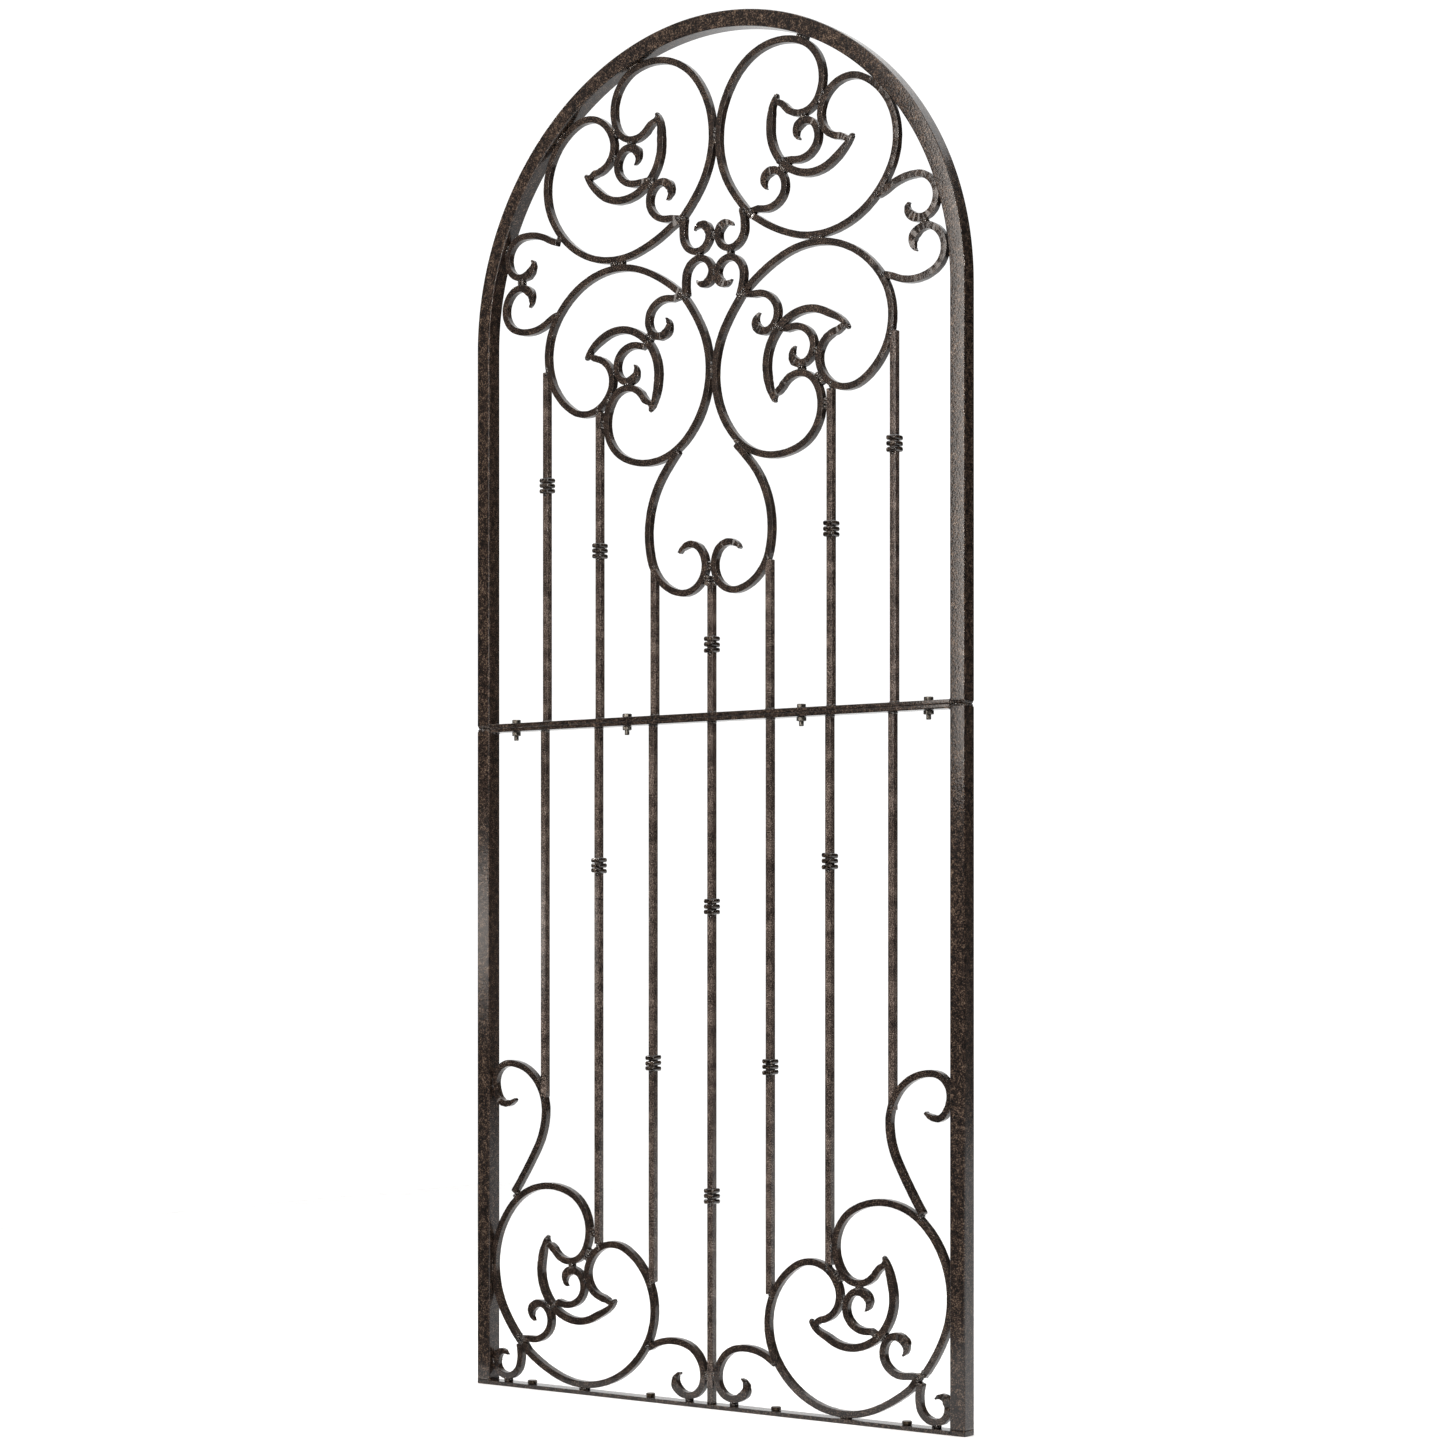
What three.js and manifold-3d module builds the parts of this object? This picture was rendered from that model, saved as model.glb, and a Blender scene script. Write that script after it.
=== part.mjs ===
// Metal trellis arch: two welded panels of square bar and scrolls in a square tube frame.
// The upper panel has a round head and stands on the lower panel; four bolts join them.
// Units are millimetres. +Z is up, X runs across the trellis and Y through its depth.
// The ground is z = 0 and the middle plane of the metalwork is y = 0.

import * as THREE from 'three';
import Module from 'manifold-3d';

const wasm = await Module();
wasm.setup();
const { Manifold, Mesh: SolidMesh } = wasm;

// ---------------------------------------------------------------- driving dimensions

const WIDTH = 914; // across the outside of the uprights
const HEIGHT = 2095; // ground to the top of the round head
const TUBE = 25.4; // square tube of the frame
const TUBE_WALL = 1.5;
const TUBE_CORNER = 2.6; // rounding of the tube's edges
const BAR = 10; // square bar of uprights and scrolls
const FLAT_BAR = 6.4; // thickness of the three level bars
const FOOT_HEIGHT = 10; // solid foot under each upright
const GAP = 0.3; // between pieces that touch
const BOLT = 8; // thread diameter
const BOLT_HOLE_CLEARANCE = 0.6;
const HEX_ACROSS_FLATS = 13;
const HEX_HEAD_HEIGHT = 5.5;
const NUT_HEIGHT = 6;
const THREAD_BELOW_NUT = 7.5;
const COLLAR_WIDTH = 18.5;
const COLLAR_NECK = 15;
const COLLAR_RING_HEIGHT = 8.6;
const COLLAR_RINGS = 3;
const WELD = 8; // width of the weld that bridges two bars
const CURVE_STEP = 18; // most degrees of bend between two sections of a scroll
const CHORD = 24; // most length between two sections of a scroll
const SMALLEST_EDGE = 0.02; // finer steps left by a cut are smoothed away
const ARCH_STEP = 6; // degrees between two sections of the round head

// ---------------------------------------------------------------- sizes that follow

const OPENING = WIDTH - 2 * TUBE; // clear width between the uprights
const SEAM_HEIGHT = 0.4958 * HEIGHT; // where the two panels meet
const ARCH_CENTRE = HEIGHT - WIDTH / 2;
const SCALE = OPENING / 863.2; // scrolls grow with the opening
const ROUND = Math.PI / 180;

// ---------------------------------------------------------------- bent bars

const arc = (radius, degrees) => ({ radius, degrees });

// Follows a list of arcs from a start point and heading; a positive angle bends to the left.
function bend(start, heading, arcs, turn = 1, runIn = null) {
  const points = [];
  let [x, z] = start;
  let angle = heading * ROUND;
  if (runIn) {
    const lead = Math.atan2(z - runIn[1], x - runIn[0]);
    points.push({ x: runIn[0], z: runIn[1], angle: lead });
  }
  points.push({ x, z, angle });
  for (const { radius, degrees } of arcs) {
    const run = radius * Math.abs(degrees) * ROUND;
    const steps = Math.ceil(Math.max(Math.abs(degrees) / CURVE_STEP, run / CHORD));
    const swing = (turn * degrees * ROUND) / steps;
    const chord = 2 * radius * Math.sin(Math.abs(swing) / 2);
    for (let i = 0; i < steps; i += 1) {
      x += chord * Math.cos(angle + swing / 2);
      z += chord * Math.sin(angle + swing / 2);
      angle += swing;
      points.push({ x, z, angle });
    }
  }
  return points;
}

// The point that lies the given distance behind a start point and heading.
function before([x, z], heading, distance) {
  return [x - distance * Math.cos(heading * ROUND), z - distance * Math.sin(heading * ROUND)];
}

// Mirrors a path across either axis and moves it to its place.
function place(path, [dx, dz], flipX = 1, flipZ = 1) {
  return path.map(({ x, z, angle }) => ({
    x: dx + x * flipX,
    z: dz + z * flipZ,
    angle: Math.atan2(Math.sin(angle) * flipZ, Math.cos(angle) * flipX),
  }));
}

function lengths(path) {
  const along = [0];
  for (let i = 1; i < path.length; i += 1) {
    const step = Math.hypot(path[i].x - path[i - 1].x, path[i].z - path[i - 1].z);
    along.push(along[i - 1] + step);
  }
  return along;
}

// Closed body from rings of points that all have the same count.
function skin(rings) {
  const count = rings[0].length;
  const verts = rings.flat(2);
  const faces = [];
  for (let i = 0; i + 1 < rings.length; i += 1) {
    for (let j = 0; j < count; j += 1) {
      const a = i * count + j;
      const b = i * count + ((j + 1) % count);
      faces.push(a, b, b + count, a, b + count, a + count);
    }
  }
  const last = (rings.length - 1) * count;
  for (let j = 1; j + 1 < count; j += 1) {
    faces.push(0, j + 1, j, last, last + j, last + j + 1);
  }
  const mesh = new SolidMesh({
    numProp: 3,
    vertProperties: new Float32Array(verts),
    triVerts: new Uint32Array(faces),
  });
  return new Manifold(mesh);
}

// Sweeps a section of [across, depth] points along a path; widthAt scales it across.
function sweep(path, section, widthAt = () => 1) {
  const along = lengths(path);
  const total = along[along.length - 1];
  const rings = path.map(({ x, z, angle }, i) => {
    const wide = widthAt(along[i], total);
    return section.map(([across, depth]) => [
      x + Math.sin(angle) * across * wide,
      depth,
      z - Math.cos(angle) * across * wide,
    ]);
  });
  return skin(rings);
}

function squareSection(size, corner = 0) {
  const h = size / 2;
  const c = h - corner;
  if (corner === 0) {
    return [[-h, -h], [h, -h], [h, h], [-h, h]];
  }
  return [[-c, -h], [c, -h], [h, -c], [h, c], [c, h], [-c, h], [-h, c], [-h, -c]];
}

// ---------------------------------------------------------------- scroll ends

const full = () => 1;

// A bar drawn down to a thin flick over its last stretch.
const flickEnd = (along, total) => {
  const left = total - along;
  return left < 30 ? 0.35 + 0.65 * (left / 30) : 1;
};

// A scroll end swells a little and then closes to a point.
const commaEnd = (along, total) => {
  const left = total - along;
  if (left > 46) return 1;
  if (left > 22) return 1 + 0.3 * ((46 - left) / 24);
  return 0.3 + left / 22;
};

// Thick in the middle and thin at both ends.
const crescentEnds = (along, total) => {
  const near = Math.min(along, total - along);
  return near < 50 ? 0.35 + 0.7 * (near / 50) : 1.05;
};

// ---------------------------------------------------------------- solid helpers

function box(x0, x1, y0, y1, z0, z1) {
  const size = [x1 - x0, y1 - y0, z1 - z0];
  return Manifold.cube(size).translate([x0, y0, z0]);
}

function bar(path, ends = full) {
  return (grow) => {
    const wide = (along, total) => ends(along, total) + (2 * grow) / BAR;
    const reach = path.map((p) => ({ ...p }));
    const tail = reach[0];
    tail.x -= grow * Math.cos(tail.angle);
    tail.z -= grow * Math.sin(tail.angle);
    const head = reach[reach.length - 1];
    head.x += grow * Math.cos(head.angle);
    head.z += grow * Math.sin(head.angle);
    const half = BAR / 2 + grow;
    const section = [[-BAR / 2, -half], [BAR / 2, -half], [BAR / 2, half], [-BAR / 2, half]];
    return sweep(reach, section, wide);
  };
}

// Upright bar of square section, with ringed collars at the listed heights.
function uprightBar(x, z0, z1, collars = []) {
  return (grow) => {
    const h = BAR / 2 + grow;
    let solid = box(x - h, x + h, -h, h, z0 - grow, z1 + grow);
    for (const z of collars) solid = solid.add(collar(grow).translate([x, 0, z]));
    return solid;
  };
}

// Three rings, each a low square bead.
function collar(grow) {
  const reach = (COLLAR_WIDTH / 2 + grow) * Math.SQRT2;
  const neck = (COLLAR_NECK / 2 + grow) * Math.SQRT2;
  const half = COLLAR_RING_HEIGHT / 2;
  const rise = Manifold.cylinder(half, neck, reach, 4);
  const fall = Manifold.cylinder(half, reach, neck, 4).translate([0, 0, half]);
  const ring = rise.add(fall).rotate([0, 0, 45]);
  let stack = ring;
  for (let i = 1; i < COLLAR_RINGS; i += 1) {
    stack = stack.add(ring.translate([0, 0, i * COLLAR_RING_HEIGHT]));
  }
  return stack.translate([0, 0, (-COLLAR_RINGS * COLLAR_RING_HEIGHT) / 2]);
}

// The closest pair of points on two paths.
function closest(a, b) {
  let best = null;
  for (const p of a) {
    for (const q of b) {
      const d = Math.hypot(p.x - q.x, p.z - q.z);
      if (best === null || d < best.d) best = { d, p, q };
    }
  }
  return best;
}

// The same path with points no more than two millimetres apart.
function finer(path) {
  const out = [];
  for (let i = 0; i + 1 < path.length; i += 1) {
    const [a, b] = [path[i], path[i + 1]];
    const count = Math.ceil(Math.hypot(b.x - a.x, b.z - a.z) / 2);
    for (let k = 0; k < count; k += 1) {
      const t = k / count;
      out.push({ x: a.x + t * (b.x - a.x), z: a.z + t * (b.z - a.z) });
    }
  }
  return out;
}

// Weld across the narrowest place between two bent bars.
function weldBetween(pathA, pathB) {
  const { p, q } = closest(finer(pathA), finer(pathB));
  return weldFrom(p, q);
}

function weldFrom(p, q) {
  return (grow) => {
    const angle = Math.atan2(q.z - p.z, q.x - p.x);
    const reach = Math.hypot(q.x - p.x, q.z - p.z);
    const h = WELD / 2 + grow;
    const block = box(0, reach, -h, h, -h, h);
    return block.rotate([0, -angle / ROUND, 0]).translate([p.x, 0, p.z]);
  };
}

const joined = (...builders) => (grow) =>
  builders.map((build) => build(grow)).reduce((a, b) => a.add(b));

// ---------------------------------------------------------------- assembly

const trellis = new THREE.Group();
trellis.name = 'metal_trellis_arch';

const COATED_STEEL = { color: 0x2a211c, roughness: 0.45, metalness: 0.55 };
const ZINC_STEEL = { color: 0x8d8a80, roughness: 0.4, metalness: 0.9 };

function toGeometry(solid) {
  const { vertProperties, triVerts, numProp } = solid.getMesh();
  const positions = new Float32Array(triVerts.length * 3);
  triVerts.forEach((v, i) => {
    for (let k = 0; k < 3; k += 1) positions[3 * i + k] = vertProperties[numProp * v + k];
  });
  const geometry = new THREE.BufferGeometry();
  geometry.setAttribute('position', new THREE.BufferAttribute(positions, 3));
  geometry.computeVertexNormals();
  return geometry;
}

const fitted = [];

function overlaps(a, b) {
  return a.min.every((low, k) => low < b.max[k] && b.min[k] < a.max[k]);
}

function largestBody(solid) {
  const bodies = solid.decompose();
  return bodies.reduce((a, b) => (b.volume() > a.volume() ? b : a));
}

// Adds a piece, cut back so that it clears every piece placed before it.
function addPiece(name, build, look = COATED_STEEL, envelope = build) {
  let solid = build(0);
  for (const other of fitted) {
    if (overlaps(solid.boundingBox(), other.envelope.boundingBox())) {
      solid = solid.subtract(other.envelope);
    }
  }
  solid = largestBody(solid).simplify(SMALLEST_EDGE);
  fitted.push({ name, envelope: envelope(GAP).add(solid) });
  const material = new THREE.MeshStandardMaterial({ ...look, name: `${name}_finish` });
  const mesh = new THREE.Mesh(toGeometry(solid), material);
  mesh.name = name;
  trellis.add(mesh);
}

// ---------------------------------------------------------------- frame

const ARCH_RADIUS = WIDTH / 2 - TUBE / 2;

function archLine(extend = 0) {
  const foot = SEAM_HEIGHT + GAP / 2 - extend;
  const line = [{ x: -ARCH_RADIUS, z: foot, angle: 90 * ROUND }];
  for (let a = 180; a >= 0; a -= ARCH_STEP) {
    line.push({
      x: ARCH_RADIUS * Math.cos(a * ROUND),
      z: ARCH_CENTRE + ARCH_RADIUS * Math.sin(a * ROUND),
      angle: (a - 90) * ROUND,
    });
  }
  line.push({ x: ARCH_RADIUS, z: foot, angle: -90 * ROUND });
  return line;
}

function archTube(grow) {
  return sweep(archLine(grow), squareSection(TUBE + 2 * grow, TUBE_CORNER));
}

function hollowArch() {
  const bore = squareSection(TUBE - 2 * TUBE_WALL);
  return archTube(0).subtract(sweep(archLine(1), bore));
}

function uprightTube(x, grow) {
  const low = FOOT_HEIGHT + GAP - grow;
  const high = SEAM_HEIGHT - GAP / 2 + grow;
  const line = [{ x, z: low, angle: 90 * ROUND }, { x, z: high, angle: 90 * ROUND }];
  return sweep(line, squareSection(TUBE + 2 * grow, TUBE_CORNER));
}

function hollowUpright(x) {
  const h = TUBE / 2 - TUBE_WALL;
  const bore = box(x - h, x + h, -h, h, FOOT_HEIGHT - 1, SEAM_HEIGHT + 1);
  return uprightTube(x, 0).subtract(bore);
}

function foot(x, grow) {
  const line = [{ x, z: 0, angle: 90 * ROUND }, { x, z: FOOT_HEIGHT + grow, angle: 90 * ROUND }];
  return sweep(line, squareSection(TUBE + 2 * grow, TUBE_CORNER));
}

const MIDDLE_BOLTS = [-386, -163, 165, 388].map((x) => x * SCALE);
const BASE_BOLTS = [-353, -117, 119, 351].map((x) => x * SCALE);

// Level flat bar with bolt holes, set between the uprights.
function flatBar(z0, z1, holes) {
  return (grow) => {
    const reach = OPENING / 2 - GAP + grow;
    const h = TUBE / 2 + grow;
    let solid = box(-reach, reach, -h, h, z0 - grow, z1 + grow);
    if (grow > 0) return solid;
    for (const x of holes) {
      const radius = (BOLT + BOLT_HOLE_CLEARANCE) / 2;
      const drill = Manifold.cylinder(z1 - z0 + 2, radius, radius, 12);
      solid = solid.subtract(drill.translate([x, 0, z0 - 1]));
    }
    return solid;
  };
}

const UPPER_RAIL = { z0: SEAM_HEIGHT + GAP / 2, z1: SEAM_HEIGHT + GAP / 2 + FLAT_BAR };
const LOWER_RAIL = { z0: SEAM_HEIGHT - GAP / 2 - FLAT_BAR, z1: SEAM_HEIGHT - GAP / 2 };

addPiece('arch_frame', hollowArch, COATED_STEEL, archTube);
for (const [side, x] of [['left', -ARCH_RADIUS], ['right', ARCH_RADIUS]]) {
  addPiece(`foot_${side}`, (grow) => foot(x, grow));
  addPiece(`upright_${side}`, () => hollowUpright(x), COATED_STEEL, (g) => uprightTube(x, g));
}
addPiece('upper_rail', flatBar(UPPER_RAIL.z0, UPPER_RAIL.z1, MIDDLE_BOLTS));
addPiece('lower_rail', flatBar(LOWER_RAIL.z0, LOWER_RAIL.z1, MIDDLE_BOLTS));
addPiece('base_rail', flatBar(0, FLAT_BAR, BASE_BOLTS));

// ---------------------------------------------------------------- bolts and nuts

function hex(height) {
  const radius = HEX_ACROSS_FLATS / Math.sqrt(3);
  return Manifold.cylinder(height, radius, radius, 6);
}

function bolt(x, seat, shank) {
  return () => {
    const head = hex(HEX_HEAD_HEIGHT).translate([x, 0, seat + GAP]);
    const rod = Manifold.cylinder(shank + GAP + 1, BOLT / 2, BOLT / 2, 12);
    return head.add(rod.translate([x, 0, seat - shank]));
  };
}

function nut(x, seat) {
  return () => {
    const radius = BOLT / 2 + GAP / 2;
    const bore = Manifold.cylinder(NUT_HEIGHT + 2, radius, radius, 12).translate([0, 0, -1]);
    const body = hex(NUT_HEIGHT).subtract(bore);
    return body.translate([x, 0, seat - GAP - NUT_HEIGHT]);
  };
}

function addFixing(name, build) {
  const material = new THREE.MeshStandardMaterial({ ...ZINC_STEEL, name: `${name}_finish` });
  const mesh = new THREE.Mesh(toGeometry(build()), material);
  mesh.name = name;
  trellis.add(mesh);
}

const GRIP = UPPER_RAIL.z1 - LOWER_RAIL.z0;
MIDDLE_BOLTS.forEach((x, i) => {
  const shank = GRIP + GAP + NUT_HEIGHT + THREAD_BELOW_NUT;
  addFixing(`panel_bolt_${i + 1}`, bolt(x, UPPER_RAIL.z1, shank));
  addFixing(`panel_nut_${i + 1}`, nut(x, LOWER_RAIL.z0));
});
BASE_BOLTS.forEach((x, i) => {
  addFixing(`base_bolt_${i + 1}`, bolt(x, FLAT_BAR, FLAT_BAR));
});

// ---------------------------------------------------------------- where scrolls are drawn

// Scrolls are drawn for an opening of 863.2 mm and grow with the opening. The upper group
// keeps its place in the round head and the lower group stands on the base rail.
const DRAWN_ARCH_CENTRE = 1638;
const DRAWN_RAIL_TOP = 6.4;

const upperZ = (z) => ARCH_CENTRE + (z - DRAWN_ARCH_CENTRE) * SCALE;
const lowerZ = (z) => FLAT_BAR + (z - DRAWN_RAIL_TOP) * SCALE;

function toPanel(path, mapZ) {
  return path.map(({ x, z, angle }) => ({ x: x * SCALE, z: mapZ(z), angle }));
}

const lines = {
  frame: finer(archLine()),
  base_rail: finer([{ x: -OPENING / 2, z: FLAT_BAR / 2 }, { x: OPENING / 2, z: FLAT_BAR / 2 }]),
  upright_left: finer([{ x: -ARCH_RADIUS, z: 0 }, { x: -ARCH_RADIUS, z: SEAM_HEIGHT }]),
  upright_right: finer([{ x: ARCH_RADIUS, z: 0 }, { x: ARCH_RADIUS, z: SEAM_HEIGHT }]),
};

// Welds that join a path to the named bars.
const weldsTo = (path, names) => names.map((name) => weldBetween(path, lines[name]));

function addBent(name, path, ends, weldedTo) {
  lines[name] = path;
  addPiece(name, joined(bar(path, ends), ...weldsTo(path, weldedTo)));
}

// ---------------------------------------------------------------- leaf scrolls

// Drawn as for the leaf at the top left: the heel is at lower right and the leaf opens up-left.
const UPRIGHT_LOOP = [
  arc(256, 12), arc(142, 73), arc(104, 71), arc(63, 96), arc(36, 113), arc(30, -30), arc(8, 100),
];
const LYING_LOOP = [
  arc(251, 16), arc(144, 80), arc(103, 93), arc(52, 100), arc(37, 97), arc(30, -24), arc(8, 90),
];
const CURL = [arc(109, 6), arc(36, 52), arc(28, 82), arc(20, 88), arc(16.5, 100)];
const CRESCENT = [arc(69, 70), arc(76, 119)];

// Each leaf was bent by eye, so each has its own heel and its own start for either loop.
const LEAVES = [
  {
    name: 'top_left', heel: [-55, 1796], flip: [1, 1], weldedTo: ['frame'],
    upright: [[-1, -1], 44], lying: [[-21, -10], 213], crescent: [[-176.5, 81], -62.5],
    inner: [[-80.5, 66], 184], outer: [[-20, 3], 180.5],
  },
  {
    name: 'top_right', heel: [67, 1788], flip: [-1, 1], weldedTo: ['frame', 'upright_loop_top_left'],
    upright: [[-5, -1], 44.5], lying: [[-22, -13], 213.5], crescent: [[-178, 78.5], -61],
    inner: [[-82, 66.5], 189], outer: [[-20.5, 3], 192.5],
  },
  {
    name: 'middle_left', heel: [-53, 1680], flip: [1, -1], weldedTo: ['lying_loop_top_left'],
    upright: [[6, 8], 51.5], lying: [[-13, -10], 218.5], crescent: [[-183, 74.5], -61],
    inner: [[-76, 69.5], 198.5], outer: [[-18.5, 3], 190],
  },
  {
    name: 'middle_right', heel: [58, 1668], flip: [-1, -1],
    weldedTo: ['upright_loop_middle_left', 'lying_loop_top_right'],
    upright: [[1, 2], 48.5], lying: [[-15, -12], 219], crescent: [[-182.5, 75.5], -64],
    inner: [[-82, 61.5], 191], outer: [[-21, 3], 183],
  },
  {
    name: 'bottom_left', heel: [-375, 77], flip: [-1, 1], weldedTo: ['upright_left', 'base_rail'],
    upright: [[2, -3], 47], lying: [[-16, -20], 216.5], crescent: [[-180.5, 77], -67],
    inner: [[-77, 62], 196.5], outer: [[-17, 0.5], 184],
  },
  {
    name: 'bottom_right', heel: [372, 77], flip: [1, 1], weldedTo: ['upright_right', 'base_rail'],
    upright: [[14, 9], 53], lying: [[-13, -18], 218.5], crescent: [[-182.5, 75.5], -67.5],
    inner: [[-81, 59], 184.5], outer: [[-14, 0], 188],
  },
];

function addLeaf(leaf) {
  const mapZ = leaf.name.startsWith('bottom') ? lowerZ : upperZ;
  const heel = [0, 0];
  const set = (path) => toPanel(place(path, leaf.heel, ...leaf.flip), mapZ);

  const uprightDrawn = bend(...leaf.upright, UPRIGHT_LOOP, 1, before(...leaf.upright, 6));
  const lyingDrawn = bend(...leaf.lying, LYING_LOOP, -1, heel);
  const crescentDrawn = bend(...leaf.crescent, CRESCENT);
  const belly = crescentDrawn[Math.round(0.55 * crescentDrawn.length)];
  const innerDrawn = bend(...leaf.inner, CURL, -1, [belly.x, belly.z]);
  const outerDrawn = bend(...leaf.outer, CURL, -1, heel);

  const upright = set(uprightDrawn);
  const lying = set(lyingDrawn);
  const crescent = set(crescentDrawn);
  const inner = set(innerDrawn);
  const outer = set(outerDrawn);
  lines[`upright_loop_${leaf.name}`] = upright;
  lines[`lying_loop_${leaf.name}`] = lying;

  const half = (path) => path.slice(Math.floor(path.length / 2));
  const outline = [bar(upright, flickEnd), bar(lying, flickEnd)];
  const waist = weldBetween(half(upright), half(lying));
  const heelWeld = weldFrom(upright[1], lying[1]);
  const loops = [...upright, ...lying];
  const holds = leaf.weldedTo.map((name) => weldBetween(loops, lines[name]));
  addPiece(`leaf_outline_${leaf.name}`, joined(...outline, waist, heelWeld, ...holds));

  const core = [bar(crescent, crescentEnds), bar(inner, commaEnd), bar(outer, commaEnd)];
  const coreWelds = [
    weldBetween(outer.slice(3), crescent),
    weldBetween(inner.slice(3), half(upright)),
    weldBetween(inner.slice(3), half(lying)),
  ];
  addPiece(`leaf_heart_${leaf.name}`, joined(...core, ...coreWelds));
}

LEAVES.forEach(addLeaf);

// ---------------------------------------------------------------- other scrolls

const ROSETTE_CURL = [arc(84, 18), arc(28.5, 63), arc(23, 101), arc(18.5, 85), arc(18, 62)];
const SIDE_UPPER = [arc(76, -15), arc(91, 34), arc(34, 108), arc(27, 133), arc(9, 90)];
const SIDE_LOWER = [arc(83, -15), arc(72, 54), arc(35, 123), arc(26, 82), arc(21, 76)];
const LYRE = [arc(470, 5), arc(151, 53.5), arc(73, 62.5), arc(39.5, 139), arc(25, 111)];
const S_SCROLL = [
  arc(774, 6.4), arc(124, 25), arc(75, 43), arc(71, 52), arc(31, 85), arc(42, 43),
  arc(16, 48), arc(29, 46),
];
const CENTRE_SCROLL = [arc(84.5, 50), arc(47, 84), arc(29, 129), arc(17, 105)];
const CORNER_CURL = [arc(59, 32), arc(27, 93), arc(21, 104), arc(15, 102)];

const drawn = (start, heading, arcs, turn, flipX, mapZ, runIn) =>
  toPanel(place(bend(start, heading, arcs, turn, runIn), [0, 0], flipX, 1), mapZ);

const rosette = [
  drawn([-51.5, 1793.5], -101.5, ROSETTE_CURL, 1, 1, upperZ),
  drawn([-59, 1793], -106.5, ROSETTE_CURL, 1, -1, upperZ),
  drawn([-47, 1681], 100, ROSETTE_CURL, -1, 1, upperZ),
  drawn([-55, 1671], 111, ROSETTE_CURL, -1, -1, upperZ),
];
const [upLeft, upRight, downLeft, downRight] = rosette;
const beyondTail = (path) => path.slice(4);
addPiece(
  'rosette',
  joined(
    ...rosette.map((path) => bar(path, commaEnd)),
    weldBetween(beyondTail(upLeft), beyondTail(downLeft)),
    weldBetween(beyondTail(upRight), beyondTail(downRight)),
    weldBetween(beyondTail(upLeft), beyondTail(upRight)),
    weldBetween(beyondTail(downLeft), beyondTail(downRight)),
  ),
);

const SIDES = [
  { side: 'left', flipX: 1 },
  { side: 'right', flipX: -1 },
];
const UPPER_START = { left: [[-299, 1792], 166], right: [[-301, 1781], 164] };
const LOWER_START = { left: [[-299, 1679], 197], right: [[-313, 1664], 189] };
const LYRE_START = { left: [[-62, 1445.5], 227.5], right: [[-46.5, 1445], 224] };
const S_START = { left: [[-389, 306], 53.5], right: [[-380, 309.5], 56] };
const CENTRE_START = { left: [[-118, 81], 34], right: [[-120, 75], 40] };
const CORNER_START = { left: [[-378, 68.5], -72], right: [[-377, 69], -69] };

for (const { side, flipX } of SIDES) {
  const upper = drawn(...UPPER_START[side], SIDE_UPPER, 1, flipX, upperZ);
  addBent(`side_scroll_upper_${side}`, upper, commaEnd, ['frame', `lying_loop_top_${side}`]);
  const lower = drawn(...LOWER_START[side], SIDE_LOWER, -1, flipX, upperZ);
  const lowerWelds = [`side_scroll_upper_${side}`, `lying_loop_middle_${side}`];
  addBent(`side_scroll_lower_${side}`, lower, commaEnd, lowerWelds);
}

for (const { side, flipX } of SIDES) {
  const lyre = drawn(...LYRE_START[side], LYRE, 1, flipX, upperZ);
  const lyreWelds = [`upright_loop_middle_${side}`];
  if (side === 'right') lyreWelds.push('lyre_left');
  addBent(`lyre_${side}`, lyre, flickEnd, lyreWelds);
}

for (const { side, flipX } of SIDES) {
  const s = drawn(...S_START[side], S_SCROLL, 1, flipX, lowerZ);
  addBent(`s_scroll_${side}`, s, flickEnd, [`upright_${side}`, `upright_loop_bottom_${side}`]);
  const centre = drawn(...CENTRE_START[side], CENTRE_SCROLL, -1, flipX, lowerZ);
  const centreWelds = ['base_rail', `lying_loop_bottom_${side}`];
  addBent(`centre_scroll_${side}`, centre, commaEnd, centreWelds);
  const corner = drawn(...CORNER_START[side], CORNER_CURL, -1, flipX, lowerZ);
  addBent(`corner_curl_${side}`, corner, commaEnd, ['base_rail', `upright_${side}`]);
}

// ---------------------------------------------------------------- vertical bars

// Each collar sits at a share of its own bar's height, counted from the bar's lower end.
const UPPER_BARS = [
  { name: 'left_3', x: -322.5, top: 1592, collars: [0.676], weldedTo: ['lying_loop_middle_left'] },
  {
    name: 'left_2', x: -216.5, top: 1519, collars: [0.548],
    weldedTo: ['lying_loop_middle_left', 'upright_loop_middle_left'],
  },
  { name: 'left_1', x: -108.5, top: 1268, collars: [], weldedTo: ['lyre_left'] },
  { name: 'middle', x: 0, top: 1240, collars: [0.527], weldedTo: ['lyre_left', 'lyre_right'] },
  { name: 'right_1', x: 108, top: 1268, collars: [], weldedTo: ['lyre_right'] },
  {
    name: 'right_2', x: 218.5, top: 1510, collars: [0.558],
    weldedTo: ['lying_loop_middle_right', 'upright_loop_middle_right'],
  },
  { name: 'right_3', x: 329.5, top: 1582, collars: [0.696], weldedTo: ['lying_loop_middle_right'] },
];
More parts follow.
